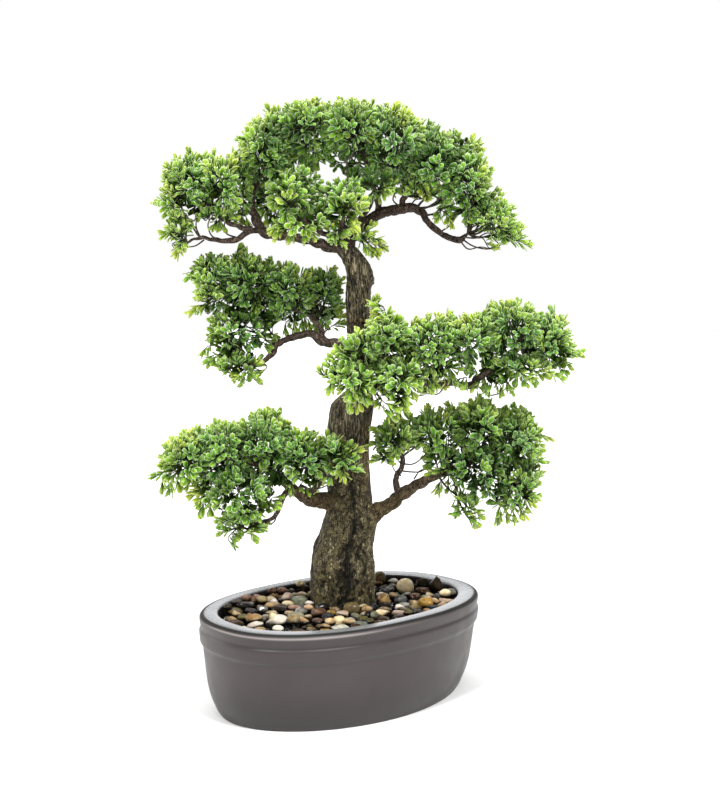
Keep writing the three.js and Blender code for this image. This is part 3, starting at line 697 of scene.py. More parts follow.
# ------------------------------------------------------------------ trunk
# height, centre x, centre y, half width seen from the front
TRUNK = np.array([
    [58.3, 0.8, 17.0, 23.4],
    [64.3, 0.6, 17.0, 23.2],
    [79.9, 0.3, 16.7, 23.5],
    [98.5, 0.3, 16.3, 22.0],
    [117.7, 5.1, 15.9, 19.5],
    [127.3, 6.0, 15.7, 17.4],
    [136.8, 6.2, 15.5, 15.7],
    [155.1, 4.9, 15.1, 15.5],
    [173.4, 4.9, 14.8, 14.8],
    [186.4, 4.8, 14.5, 15.3],
    [198.0, 6.4, 14.2, 15.1],
    [205.2, 8.0, 14.1, 15.2],
    [212.1, 10.3, 13.9, 12.2],
    [216.1, 12.3, 13.7, 9.5],
    [221.8, 12.5, 13.5, 8.6],
    [252.6, 12.3, 12.1, 8.4],
    [283.9, 12.0, 10.8, 8.7],
    [294.5, 13.2, 10.3, 9.2],
    [301.5, 12.5, 10.0, 9.2],
    [308.5, 9.8, 9.7, 9.0],
    [314.1, 5.6, 9.4, 8.7],
    [318.3, 3.5, 9.2, 7.6],
    [321.8, 2.8, 9.1, 5.8]
])
TRUNK = TRUNK[np.argsort(TRUNK[:, 0])]
DEPTH = 0.92


def pchip(xs, ys, x):
    """Monotone cubic through the points."""
    xs, ys, x = map(lambda a: np.asarray(a, float), (xs, ys, x))
    h = np.diff(xs)
    d = np.diff(ys) / h
    m = np.zeros_like(ys)
    for i in range(1, len(xs) - 1):
        if d[i - 1] * d[i] > 0:
            w1, w2 = 2 * h[i] + h[i - 1], h[i] + 2 * h[i - 1]
            m[i] = (w1 + w2) / (w1 / d[i - 1] + w2 / d[i])
    m[0], m[-1] = d[0], d[-1]
    k = np.clip(np.searchsorted(xs, x) - 1, 0, len(h) - 1)
    t = (x - xs[k]) / h[k]
    t = np.clip(t, 0, 1)
    h00, h10 = 2 * t**3 - 3 * t**2 + 1, t**3 - 2 * t**2 + t
    h01, h11 = -2 * t**3 + 3 * t**2, t**3 - t**2
    return h00 * ys[k] + h10 * h[k] * m[k] + h01 * ys[k + 1] + h11 * h[k] * m[k + 1]


def trunk_at(z):
    return (pchip(TRUNK[:, 0], TRUNK[:, 1], z), pchip(TRUNK[:, 0], TRUNK[:, 2], z), pchip(TRUNK[:, 0], TRUNK[:, 3], z))


def wrap(a):
    return (a + math.pi) % (2 * math.pi) - math.pi


def make_trunk():
    z = np.concatenate([np.arange(24.5, 50, 3.0), np.arange(50, 205, 1.0), np.arange(205, 321.5, 1.2)])
    n = 144
    cx, cy, r = trunk_at(z)
    th = np.linspace(0, 2 * math.pi, n, endpoint=False)
    T, Z = np.meshgrid(th, z)
    R = r[:, None]
    low = smooth(205, 90, Z)
    # the axis twists a little on its way up, and the ridges follow it
    twist = 0.35 * np.sin((Z - 60) / 95.0) + 0.10 * np.sin(Z / 21.0)
    A = T + twist * 0.6
    disp = np.zeros_like(Z)

    def valley(centre, width, depth, z0, z1, soft=14.0, wander=0.06, seed=0):
        c = centre + wander * np.sin(Z / 13.0 + seed) + 0.5 * wander * np.sin(Z / 5.3 + 2 * seed)
        g = np.exp(-(wrap(T - c) / width) ** 2)
        return -depth * g * smooth(z0 - soft, z0 + soft, Z) * (1 - smooth(z1 - soft, z1 + soft, Z))

    front = -math.pi / 2
    # the broad middle channel between two lobes, shallower as it climbs
    c0 = front + 0.12 + 0.10 * np.sin((Z - 60) / 30.0) + 0.16 * smooth(150, 200, Z)
    wide = 0.36 - 0.08 * smooth(90, 150, Z)
    depth = 4.6 * smooth(150, 76, Z) + 1.5 * smooth(60, 130, Z)
    disp -= depth * np.exp(-(wrap(T - c0) / wide) ** 2) * (1 - smooth(196, 212, Z))
    # deep: the channel's bottom, where shade is painted
    deep = np.exp(-(wrap(T - c0 - 0.05 * np.sin(Z / 6.0)) / (0.26 + 0.20 * smooth(104, 66, Z))) ** 2) * (0.50 + 0.50 * smooth(150, 70, Z)) * (1 - smooth(185, 205, Z))
    disp += valley(front - 0.75, 0.12, 0.9, 62, 112, 12, 0.12, 2.0)
    disp += valley(front + 0.86, 0.12, 0.9, 60, 150, 14, 0.10, 3.0)
    disp += valley(front - 0.42, 0.08, 0.6, 74, 136, 10, 0.14, 4.0)
    disp += valley(front + 0.52, 0.08, 0.7, 90, 160, 10, 0.10, 6.0)
    for k, a in enumerate((0.35, 1.15, 1.9, 2.7, 3.5)):                    # sides and back
        disp += valley(a, 0.20, 2.0 - 0.2 * k, 50, 120 + 14 * k, 14, 0.09, 5.0 + k)
    disp += 0.9 * smooth(125, 60, Z) * np.cos(5 * T + 0.9) * (1 - np.exp(-(wrap(T - front) / 0.8) ** 2))
    # little roots that splay at the foot of the channel
    for a, lean in ((front - 0.10, -0.012), (front + 0.30, 0.014), (front - 0.55, -0.010), (front + 0.75, 0.012)):
        cc = a + lean * (78 - Z)
        disp += 1.3 * np.exp(-(wrap(T - cc) / 0.065) ** 2) * (1 - smooth(70, 84, Z))
    for c, w, h, z0 in ((0.15, 0.55, 1.3, 196), (2.9, 0.5, 1.4, 203), (-1.1, 0.45, 0.9, 190), (-2.5, 0.5, 0.8, 168),
                        (0.2, 0.5, 1.2, 294), (3.4, 0.5, 0.7, 283), (-1.7, 0.6, 0.5, 262), (-0.4, 0.4, 1.2, 122), (3.3, 0.5, 1.1, 136)):
        disp += h * np.exp(-(wrap(T - c) / w) ** 2 - ((Z - z0) / 9.0) ** 2)
    # the lighter root that climbs the right side, with small holes in it
    root_c = -0.62 + 0.16 * np.sin((Z - 150) / 24.0)
    root = np.exp(-(wrap(T - root_c) / 0.20) ** 2) * smooth(138, 156, Z) * (1 - smooth(190, 204, Z))
    disp += 1.5 * root
    for zz, aa in ((173, -0.60), (181, -0.54), (164, -0.70), (186, -0.66)):
        disp -= 1.6 * np.exp(-(wrap(T - aa) / 0.06) ** 2 - ((Z - zz) / 1.3) ** 2)
    # collar round each lower branch
    X0 = cx[:, None] + (R + disp) * np.cos(T)
    Y0 = cy[:, None] + (R * DEPTH + disp) * np.sin(T)
    P = np.stack([X0, Y0, Z], -1)
    for bx, by, bz, br in COLLARS:
        d = np.linalg.norm(P - np.array([bx, by, bz]), axis=-1)
        disp += 0.9 * np.exp(-((d - br) / 2.2) ** 2) * smooth(0, 3, d) - 0.7 * np.exp(-((d - br * 1.4) / 1.2) ** 2)
    # a torn ring of bark on the upper stem, and the scar of a cut limb above it
    side = wrap(T + 0.72)
    ring_z = 265.4 + 0.5 * np.sin(3.0 * T) + 0.35 * noise(P * 0.35 + 17, 83)
    face = np.exp(-(side / 1.5) ** 4)
    lip = np.exp(-((Z - ring_z - 0.9) / 0.85) ** 2) * face
    tear = np.exp(-((Z - ring_z + 0.75) / 0.75) ** 2) * face
    disp += 0.85 * lip - 0.7 * tear
    disp += np.exp(-((wrap(T) / 0.55) ** 2)) * (0.55 * smooth(291.4, 292.6, Z) * smooth(301, 294, Z) - 1.7 * smooth(284, 289.5, Z) * smooth(292.4, 291.2, Z))
    # bark: long fibres, plates and grit
    q = np.stack([np.cos(A) * R, np.sin(A) * R, Z], -1)
    warp = np.stack([fbm(q * 0.09, 3, 2), fbm(q * 0.09 + 40, 4, 2), fbm(q * 0.07 + 90, 5, 2)], -1)
    qf = q + warp * np.array([3.2, 3.2, 6.0])
    scale_r = np.where(Z < 205, 1.0, 1.5)[..., None]
    f1 = fbm(qf * np.array([0.30, 0.30, 0.105]) * np.concatenate([scale_r, scale_r, np.ones_like(scale_r)], -1), 21, 3, 0.55)
    f2 = noise(qf * np.array([0.72, 0.72, 0.30]), 31)
    plate = noise(qf * np.array([0.22, 0.22, 0.16]) + 7, 41)
    ridged = 1 - np.abs(f1) * 2.2
    fine = noise(q * np.array([1.9, 1.9, 0.7]), 51)
    strength = 0.55 + 0.42 * low
    bark = strength * (0.80 * ridged + 0.50 * f2 + 0.50 * plate) + 0.18 * fine
    bark -= bark.mean()
    ruck = smooth(150, 60, Z) * 1.0 * noise(q * np.array([0.42, 0.42, 0.34]) + 5, 61)
    # rings of wrinkled bark on the upper stem
    rings = 0.22 * smooth(205, 225, Z) * np.sin(Z * 1.15 + 2.2 * noise(q * 0.12, 71))
    total = disp + bark + ruck + rings
    keep = 1.0 - 0.35 * np.abs(np.cos(T)) ** 4                             # hold the measured outline
    rr = total * keep
    end = smooth(321.5, 317.0, Z)
    X = cx[:, None] + (R * (0.55 + 0.45 * end) + rr * end) * np.cos(T)
    Y = cy[:, None] + (R * DEPTH * (0.55 + 0.45 * end) + rr * end) * np.sin(T)
    co = np.stack([X, Y, Z], -1)
    # cav: the relief's ridges and hollows, used to paint highlight on ridges and shade in hollows
    cavity = bark + 0.55 * disp + 0.6 * ruck
    local = cavity - 0.5 * (np.roll(cavity, 4, 1) + np.roll(cavity, -4, 1))
    cav = np.clip(0.5 + 0.24 * (bark + 0.6 * ruck) + 0.085 * np.minimum(disp, 0.6) + 0.16 * local, 0, 1)
    b = Builder()
    rows = len(z)
    qd, tr = tube_faces(rows, n)
    tips = np.array([[cx[0], cy[0], z[0] - 0.3], [cx[-1], cy[-1], z[-1] + 0.8]])
    b.add(np.vstack([co.reshape(-1, 3), tips]), quads=qd, tris=tr,
          cav=np.append(cav.ravel(), [0.5, 0.5]), low=np.append(low.ravel(), [1, 0]),
          deep=np.append((deep + 1.5 * tear).ravel(), [0, 0]), root=np.append((root + 1.9 * lip).ravel(), [0, 0]))
    ob = b.make("trunk_bark_body", [M_BARK])
    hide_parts("trunk")
    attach(ob, "root")
    return ob


# ------------------------------------------------------------------ branches
# main stem, then side stems: x, y, z, radius
BRANCHES = {
    "branch_low_left": [
        [(1.7, 10, 135.6, 5.18), (-6.2, 8, 137.7, 5.02), (-16.1, 5, 138.6, 4.57), (-24.5, 2, 140.6, 3.85), (-31.5, -2, 145.5, 3.12), (-39, -6, 152.6, 2.54), (-51.5, -8, 162.2, 2.11), (-67.5, -9, 168, 1.82), (-83.5, -10, 169.5, 1.54), (-98.8, -11, 168.3, 1.19)],
        [(-36.3, -4, 149.4, 2.4), (-41.2, -6, 141.9, 2.12), (-43.1, -9, 135.3, 1.97), (-49.9, -13, 127.5, 1.54), (-63.7, -16, 122.4, 1.26)],
        [(-23.8, 2, 140.6, 2.56), (-17.7, -10, 151.1, 1.97), (-9, -20, 162.5, 1.53), (-2, -24, 171.5, 1.24)],
    ],
    "branch_low_right": [
        [(16.1, 14, 125.4, 5.49), (23.3, 14, 130.5, 5.2), (33.4, 13, 136.9, 4.47), (43.4, 12, 143.6, 3.89), (51.3, 11, 148.1, 3.45), (59.8, 10, 153, 3.16), (72.6, 8, 157.6, 2.58), (86.2, 8, 162.7, 2.29), (103.5, 10, 170.4, 1.86), (119.4, 12, 175.2, 1.44)],
        [(42, 12, 143.2, 2.59), (38.3, 10, 150.1, 2.3), (43.2, 7, 162.8, 2), (43.1, 4, 171.9, 1.71), (39.5, 3, 179.9, 1.28)],
        [(97.7, 9, 167.6, 1.86), (113.6, 10, 159.5, 1.58), (126.6, 10, 149.4, 1.29)],
    ],
    "branch_mid_left": [
        [(7.5, 13, 248.3, 3.42), (-5.3, 12, 250.5, 3.13), (-13.9, 12, 251.9, 2.78), (-19.5, 12, 255.5, 2.56), (-26.7, 12, 256.6, 2.35), (-33.8, 12, 254.8, 2.14), (-40.9, 12, 253, 1.99), (-46.6, 11, 247, 1.78), (-50.1, 10, 241.4, 1.64), (-56.5, 9, 237.1, 1.42), (-64.9, 8, 234.4, 1.14)],
        [(-12.4, 12, 251.9, 2.28), (-16, 14, 261.1, 2), (-26.8, 16, 272.5, 1.71), (-46.7, 16, 281, 1.5), (-72.2, 15, 288.1, 1.28)],
    ],
    "branch_mid_front": [
        [(13.9, 10, 232.8, 2.42), (14.6, -2, 232.2, 2.39), (17.3, -16, 233.1, 2.21), (22.7, -28, 236.7, 1.91), (30.8, -33, 243.1, 1.49)],
        [(17.3, -18, 233.3, 1.93), (11.8, -30, 231.4, 1.63), (7.8, -36, 227.7, 1.22)],
    ],
    "branch_mid_right": [
        [(17.5, 11, 245.6, 2.7), (25.9, 2, 240.4, 2.54), (34.2, -6, 235.3, 2.38), (42.4, -13, 230.2, 2.22), (52, -16, 225.5, 2.08), (64.5, -15, 223.7, 2.01), (75.8, -12, 223.8, 2.09), (83.6, -10, 221.9, 2.16), (91.4, -9, 222.2, 2.23), (98.4, -8, 228.4, 2.09), (105.4, -7, 234.6, 1.96), (112.4, -6, 239.5, 1.82), (125.2, -4, 247.8, 1.4), (140.7, -3, 251.9, 1.12)],
        [(64.5, -15, 223.7, 1.8), (68.5, -17, 233.2, 1.66), (72.6, -16, 245.6, 1.38), (82.5, -12, 255.1, 1.11)],
    ],
    "branch_crown_left": [
        [(1.9, 7, 316.2, 3.38), (-5.1, 6, 318.3, 3.23), (-14.9, 5, 321, 3.02), (-24.6, 4, 323.1, 2.8), (-35.8, 3, 325.1, 2.66), (-46.2, 2, 326.8, 2.66), (-54.6, 2, 329.9, 2.66), (-59.3, 1, 336.8, 2.65), (-62.8, 1, 345.8, 2.51), (-60.7, 3, 356.3, 1.81), (-53.9, 6, 371.7, 1.47), (-42.8, 8, 385.7, 1.19)],
        [(-55.3, 2, 330.6, 2.24), (-63.5, 0, 328.5, 2.16), (-73.2, -1, 323.9, 2.09), (-82.9, -2, 322.2, 1.95), (-91.1, -3, 323.2, 1.67), (-97.9, -4, 324.2, 1.32), (-106.2, -5, 320.7, 1.04)],
        [(-62.1, 0, 330.5, 1.95), (-71.6, -2, 332.5, 1.81), (-81.3, -2, 337.4, 1.6), (-88.9, -2, 344.9, 1.39), (-95.9, -1, 354.6, 1.11)],
    ],
    "branch_crown_right": [
        [(3.3, 8, 317.6, 4.65), (6.9, 8, 324.6, 4.36), (13.2, 8, 332.3, 4.01), (20.9, 8, 337.9, 3.65), (28.7, 8, 341.7, 3.37), (37.1, 8, 344.1, 3.09), (44.8, 8, 345.5, 2.81), (51.1, 8, 345.2, 2.46), (57.5, 8, 341, 2.25), (62.4, 7, 333.3, 2.04), (68, 7, 328.4, 1.97), (74.3, 6, 325.6, 1.97), (82, 6, 325.9, 1.54), (93.2, 6, 332.9, 1.19)],
        [(41.3, 8, 344.8, 2.39), (45.5, 9, 353.9, 2.11), (48.3, 9, 365, 1.75), (51.1, 10, 379, 1.33)],
        [(25.8, 8, 340.6, 2.39), (25.2, 10, 352.6, 2.11), (21.6, 11, 366.6, 1.76), (14.6, 12, 386.1, 1.41)],
    ],
    "branch_crown_front": [
        [(2, 4, 318.9, 2.24), (-3.4, -8, 322.7, 2.07), (-12.7, -20, 327.7, 1.84), (-23.3, -26, 334.1, 1.56), (-32.6, -29, 343.4, 1.21)],
        [(-4.7, -10, 323.3, 1.66), (1, -22, 330.3, 1.5), (4.4, -29, 338.7, 1.21)],
    ],
    "branch_crown_back": [
        [(5.4, 10, 320.5, 2.54), (4.6, 22, 329.4, 2.36), (-2.6, 30, 336.8, 2.16), (-17.2, 36, 344.3, 1.88), (-33.3, 40, 351.7, 1.6), (-45, 42, 359, 1.24)],
        [(4.6, 23, 330.1, 2.15), (11.8, 32, 339.8, 1.95), (21.9, 38, 351.6, 1.74), (32.1, 42, 363.4, 1.46), (36.5, 44, 373.6, 1.17)],
    ],
}
BRANCHES["branch_crown_right"][0][-2:] = [(83.5, 6.0, 324.3, 2.1), (89.0, 6.0, 327.8, 0.9)]
for _i, _dz in enumerate((3.2, 3.2, 3.2, 2.6, 1.6, 0.6)):
    _p = BRANCHES["branch_low_right"][0][_i]
    BRANCHES["branch_low_right"][0][_i] = (_p[0], _p[1], _p[2] - _dz, _p[3])
BRANCHES["branch_low_right"][1][0] = (42.0, 12.0, 140.8, 2.59)
COLLARS = [(-5.5, 11.0, 136.6, 6.2), (20.5, 14.0, 123.5, 6.5), (1.5, 12.0, 249.0, 4.2)]
# where a limb shows a ring at its joint: distance along it, how far it stands up
SEAM = {"branch_low_left": (17.0, 0.60), "branch_low_right": (12.2, 0.35)}
EASED = {"branch_low_left": [(6.0, 20.0, 133.5, 4.0), (-2.0, 15.0, 135.0, 5.6), (-8.5, 10.0, 136.6, 6.0), (-14.0, 6.0, 137.8, 5.7),
                             (-19.0, 3.0, 139.0, 5.2), (-24.6, 1.2, 141.0, 4.3)]}
THICK = {"branch_low_left": 1, "branch_low_right": 1, "branch_crown_right": 1}


def make_branch(name, tubes):
    b = Builder()
    seed = sum(map(ord, name))
    for k, ctrl in enumerate(tubes):
        c = np.array(ctrl, float)
        if k == 0 and name in EASED:
            c = np.vstack([np.array(EASED[name]), c[c[:, 0] < EASED[name][-1][0] - 3.0]])
        p = curve_points(c, 1.0 if k == 0 else 0.9)
        pts, rad = p[:, :3].copy(), np.maximum(p[:, 3] * (1.0 if k == 0 else 0.80), 0.5)
        run = np.concatenate([[0], np.cumsum(np.linalg.norm(np.diff(pts, axis=0), axis=1))])
        # crooked, with swollen nodes, as a wired branch is
        wig = np.stack([noise(np.stack([run * 0.09, run * 0 + 3 * j + k, run * 0 + seed], -1), seed + j) for j in range(3)], -1)
        kink = np.stack([noise(np.stack([run * 0.24, run * 0 + 5 * j + k, run * 0 + seed + 3], -1), seed + 20 + j) for j in range(3)], -1)
        pts += (wig * (1.3 if k else 0.9) + kink * (0.5 if name in THICK and k == 0 else 0.75)) * smooth(0, 8, run)[:, None]
        knots = 0.22 * np.maximum(0, noise(np.stack([run * 0.22, run * 0 + k, run * 0 + 9.5], -1), seed + 7))
        rad = rad * (1 + knots + 0.05 * noise(np.stack([run * 0.5, run * 0, run * 0 + k], -1), seed + 8))
        seam = np.zeros(len(run))
        if k == 0 and name in SEAM:
            at, up = SEAM[name]
            rad = rad + up * np.exp(-((run - at - 1.0) / 1.2) ** 2) - (0.45 if name == "branch_low_left" else 0.20) * np.exp(-((run - at + 1.0) / 0.8) ** 2)
            if name == "branch_low_right":
                rad = rad * (1 + 0.32 * smooth(17, 2, run))
            seam = np.exp(-((run - at + 1.1) / 0.9) ** 2)
        elif k == 0 and name in THICK:
            rad = rad * (1 + 0.22 * smooth(9, 0, run))
        elif k:
            rad = rad * (1 + 0.35 * smooth(4, 0, run))
        big = name in THICK and k == 0
        sides = 40 if big else (22 if rad.max() > 2.2 else 14)
        co, q, t, (tt, nn, bb, aa) = tube(pts, rad, sides, ends=(0.2, 0.7))
        ring = co[:-2].reshape(len(pts), sides, 3)
        axis = pts[:, None, :]
        d = unit(ring - axis)
        s = np.stack([np.cos(aa)[None, :] * rad[:, None], np.sin(aa)[None, :] * rad[:, None], np.broadcast_to(run[:, None], (len(pts), sides))], -1)
        f = 1 - 2.0 * np.abs(fbm(s * np.array([0.55, 0.55, 0.13]) + seed, seed + 11, 3, 0.55))
        g = noise(s * np.array([1.3, 1.3, 0.35]) + seed, seed + 12)
        lump = noise(s * np.array([0.3, 0.3, 0.18]) + 3, seed + 13)
        amp = np.minimum(0.20 * rad, 0.62)[:, None]
        h = amp * (0.9 * f + 0.5 * g + 0.7 * lump)
        taper = smooth(0, 1.2, run[-1] - run)[:, None]
        ring = ring + d * (h * taper)[..., None]
        co = np.vstack([ring.reshape(-1, 3), co[-2:]])
        # painted shade in the seam of the limb's joint and painted highlight on the ring beside it, through cav
        ridge = np.exp(-((run - SEAM[name][0] - 1.4) / 0.9) ** 2) if (k == 0 and name in SEAM) else np.zeros(len(run))
        cav = np.clip(0.5 + 0.32 * (0.9 * f + 0.5 * g) - (0.7 if name == "branch_low_left" else 0.35) * seam[:, None] + 0.45 * ridge[:, None], 0, 1)
        green = np.clip(0.0 if name in THICK and k == 0 else 0.0, 0, 1)
        ochre = np.exp(-((run - SEAM[name][0] - 1.6) / 0.9) ** 2) * (1.5 if name == "branch_low_left" else 0.3) if (k == 0 and name in SEAM) else np.zeros(len(run))
        b.add(co, quads=q, tris=t, mat=0 if big else 1, deep=0.0, root=np.append(np.repeat(ochre, sides), [0, 0]),
              cav=np.append(cav.ravel(), [0.5, 0.5]),
              low=np.append((np.full(cav.shape, 0.75) * smooth(60, 10, run)[:, None]).ravel(), [0, 0]),
              green=np.full(len(co), green))
    if name == "branch_mid_front":
        # a thin stem that runs across the upper trunk
        a = np.linspace(math.radians(-158), math.radians(-24), 22)
        zc = ray_at_y(359.0, 324.0, 4.0)[2]
        zz = zc + 0.5 * np.sin(a * 5.0) + 0.8 * np.cos(a * 2.0)
        tx, ty, tr = trunk_at(zz)
        pts = np.stack([tx + (tr + 0.75) * np.cos(a), ty + (tr * DEPTH + 0.9) * np.sin(a), zz], -1)
        co, q, t, _ = tube(pts, np.full(22, 0.62), 8)
        b.add(co, quads=q, tris=t, mat=1, cav=0.5, low=0.0, green=0.0, deep=0.0, root=0.0)
    main = M_DARK if name == "branch_crown_right" else M_LIMB
    ob = b.make(name + "_wood", [main, M_TWIG] if name in THICK else [M_TWIG, M_TWIG])
    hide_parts(name)
    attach(ob, "root")
    return ob



# ------------------------------------------------------------------ pebbles
STONE = {
    "cream": ((226, 208, 170), (196, 168, 122)),
    # a copy of cream painted brighter, as painted light
    "cream_lit": ((255, 226, 186), (242, 204, 156)),
    "amber": ((106, 90, 58), (72, 58, 36)),
    "white": ((236, 228, 214), (212, 198, 178)),
    "pink": ((212, 190, 168), (184, 154, 128)),
    "peach": ((208, 176, 134), (174, 136, 94)),
    "tan": ((170, 144, 102), (128, 100, 64)),
    "ochre": ((150, 118, 52), (112, 80, 30)),
    "brown": ((98, 68, 40), (62, 40, 24)),
    "darkbrown": ((58, 42, 30), (36, 26, 20)),
    "redbrown": ((136, 104, 86), (96, 66, 54)),
    "olive": ((108, 98, 58), (74, 66, 36)),
    "grey": ((132, 128, 120), (94, 90, 84)),
    "darkgrey": ((76, 75, 72), (48, 47, 46)),
    "slate": ((50, 54, 58), (28, 31, 36)),
    "black": ((26, 24, 23), (16, 14, 14)),
    "greygreen": ((126, 126, 104), (88, 88, 70)),
}
MIX = [("cream", 11), ("white", 9), ("pink", 7), ("peach", 4), ("tan", 12), ("ochre", 4), ("redbrown", 5), ("brown", 12),
       ("darkbrown", 14), ("olive", 6), ("grey", 7), ("darkgrey", 6), ("slate", 4), ("black", 12), ("greygreen", 4)]
# seen stones: centre across and down in the picture's frame, width, height, kind, how angular
SEEN = [
    (405.2, 586.6, 19, 17, "cream_lit", -1.0, "pebble_01"), (449.0, 583.5, 19, 13, "darkbrown", 0.9, "pebble_02"),
    (425.7, 602.8, 16, 11.5, "ochre", 0.2, "pebble_03"), (401, 599, 14, 10, "darkgrey", 0.2, "pebble_04"),
    (383, 599, 14, 14, "tan", 0.2, "pebble_05"), (379.4, 575.5, 14, 11, "amber", -1.0, "pebble_06"),
    (351.7, 609.5, 17, 13, "amber", -1.0, "pebble_07"), (339.2, 621, 13, 11, "cream", 0.2, "pebble_08"),
    (298, 601, 21, 11, "greygreen", 0.2, "pebble_09"), (302.9, 589.4, 14, 10, "darkbrown", 0.5, "pebble_10"),
    (403.3, 606, 17, 6, "white", 0.2, ""), (404.5, 576.5, 20, 8, "slate", 0.3, ""), (330.2, 622.5, 11, 9, "peach", 0.2, ""),
    (295.2, 583.7, 11, 9, "cream", 0.2, ""), (262.3, 610.5, 12, 11, "grey", 0.3, ""), (279, 608.5, 17, 8, "darkbrown", 0.4, ""),
    (277, 622, 23, 13, "white", 0.3, ""), (293.3, 623.4, 14, 9, "tan", 0.2, ""), (322, 609.5, 15, 11, "black", 0.4, ""),
    (233, 611.4, 19, 9, "olive", 0.4, ""), (243, 618, 12, 8, "olive", 0.3, ""), (308, 618, 10, 8, "cream", 0.2, ""),
    (308.8, 609.0, 11, 9, "peach", 0.2, ""), (384.0, 610.5, 15, 7, "tan", 0.2, ""), (399, 614.5, 15, 7, "pink", 0.2, ""),
    (367, 612.4, 12, 11, "tan", 0.2, ""), (363, 620.5, 12, 8, "olive", 0.3, ""), (350.7, 622.9, 12, 8, "cream", 0.2, ""),
    (413.5, 605, 9, 9, "tan", 0.4, ""), (438.7, 598, 15, 10, "darkgrey", 0.5, ""), (451.4, 592.3, 12, 9, "grey", 0.3, ""),
    (422.4, 587.5, 14, 11, "darkbrown", 0.8, ""), (383, 620.5, 13, 8, "darkbrown", 0.4, ""),
    (251, 600, 14, 9, "brown", 0.4, ""), (273, 597, 12, 9, "tan", 0.3, ""), (264, 588, 12, 8, "darkbrown", 0.4, ""),
    (284, 590, 10, 8, "ochre", 0.3, ""), (244, 590, 10, 7, "tan", 0.3, ""), (417, 613, 12, 7, "darkbrown", 0.4, ""),
    (245.5, 606.6, 20, 11, "black", 0.5, ""), (231.5, 617.5, 12, 8, "tan", 0.2, ""), (253.5, 620.0, 18, 9, "tan", 0.3, ""),
    (265.5, 617.5, 11, 7, "white", 0.2, ""), (335.0, 611.5, 11, 8, "tan", 0.2, ""), (311.0, 627.0, 10, 7, "peach", 0.1, ""),
    (320.5, 627.5, 10, 7, "tan", 0.2, ""), (374.8, 616.5, 9, 12, "greygreen", 0.3, ""), (414.8, 596.3, 14, 7, "tan", 0.3, ""),
    (392.8, 583.0, 12, 6, "white", 0.4, ""), (390.0, 590.0, 12, 8, "grey", 0.3, ""), (445.0, 594.3, 12, 9, "cream", 0.2, ""),
    (289.5, 586.0, 9, 8, "grey", 0.3, ""), (281.8, 593.8, 11, 8, "redbrown", 0.2, ""), (271.5, 592.0, 11, 8, "redbrown", 0.2, ""),
    (256.0, 595.5, 12, 8, "redbrown", 0.2, ""), (246.0, 598.5, 12, 8, "redbrown", 0.3, ""), (236.5, 602.0, 11, 7, "darkbrown", 0.3, ""),
    (286.0, 603.5, 12, 10, "pink", 0.2, ""), (262.0, 600.5, 12, 9, "tan", 0.3, ""), (224.5, 612.0, 9, 7, "darkbrown", 0.3, ""),
    (287.0, 628.5, 9, 6, "darkbrown", 0.3, ""), (266.0, 625.5, 12, 6, "darkbrown", 0.3, ""), (342.5, 628.0, 10, 5, "brown", 0.3, ""),
]
TALL = {"pebble_01": 6.4, "pebble_02": 6.6, "pebble_06": 5.8, "pebble_07": 5.0}
CELL = 0.5
HX, HY = 101.0, 68.0
HG_X = np.arange(-HX, HX + CELL, CELL)
HG_Y = np.arange(-HY, HY + CELL, CELL)


def icosphere(level):
    g = (1 + 5 ** 0.5) / 2
    v = [(-1, g, 0), (1, g, 0), (-1, -g, 0), (1, -g, 0), (0, -1, g), (0, 1, g), (0, -1, -g), (0, 1, -g), (g, 0, -1), (g, 0, 1), (-g, 0, -1), (-g, 0, 1)]
    f = [(0, 11, 5), (0, 5, 1), (0, 1, 7), (0, 7, 10), (0, 10, 11), (1, 5, 9), (5, 11, 4), (11, 10, 2), (10, 7, 6), (7, 1, 8),
         (3, 9, 4), (3, 4, 2), (3, 2, 6), (3, 6, 8), (3, 8, 9), (4, 9, 5), (2, 4, 11), (6, 2, 10), (8, 6, 7), (9, 8, 1)]
    v = [np.array(p, float) / np.linalg.norm(p) for p in v]
    for _ in range(level):
        mid, nf = {}, []

        def half(a, b):
            k = (min(a, b), max(a, b))
            if k not in mid:
                p = v[a] + v[b]
                v.append(p / np.linalg.norm(p))
                mid[k] = len(v) - 1
            return mid[k]

        for a, b, c in f:
            ab, bc, ca = half(a, b), half(b, c), half(c, a)
            nf += [(a, ab, ca), (b, bc, ab), (c, ca, bc), (ab, bc, ca)]
        f = nf
    return np.array(v), np.array(f)


ICO1 = icosphere(1)
ICO2 = icosphere(2)
ICO3 = icosphere(3)


def stone_shape(rng, half, angular, ico, peak=0.0):
    """Vertices of one stone about its own centre: half = (long, short, high)."""
    d = ico[0]
    seed = int(rng.integers(1, 1 << 20))
    power = rng.uniform(1.95, 2.25) if angular < 0.35 else rng.uniform(2.2, 2.9)
    r = (np.abs(d) ** power).sum(1) ** (-1.0 / power)
    r = r * (1 + (0.03 if angular < 0 else 0.11) * noise(d * 1.3 + seed % 97, seed) + 0.04 * noise(d * 3.1 + 5, seed + 1))
    p = d * r[:, None]
    # broken or worn facets
    for _ in range(0 if angular < 0 else (int(rng.integers(2, 5)) if angular < 0.35 else int(rng.integers(6, 10)))):
        nrm = unit(rng.normal(size=3))
        lim = rng.uniform(0.74, 0.94) if angular < 0.35 else rng.uniform(0.56, 0.80)
        over = np.maximum(p @ nrm - lim, 0)
        p = p - nrm * (over * (0.82 if angular < 0.35 else 0.96))[:, None]
    if peak:                                         # a broken stone that stands up in a point
        t = np.clip((p[:, 2] + 0.6) / 1.5, 0, 1)
        p[:, 0] = p[:, 0] * (1 - peak * t) + 0.10 * t
        p[:, 1] = p[:, 1] * (1 - peak * t)
    p = p - (p.max(0) + p.min(0)) / 2
    p = p / ((p.max(0) - p.min(0)) / 2)
    return p * np.asarray(half)


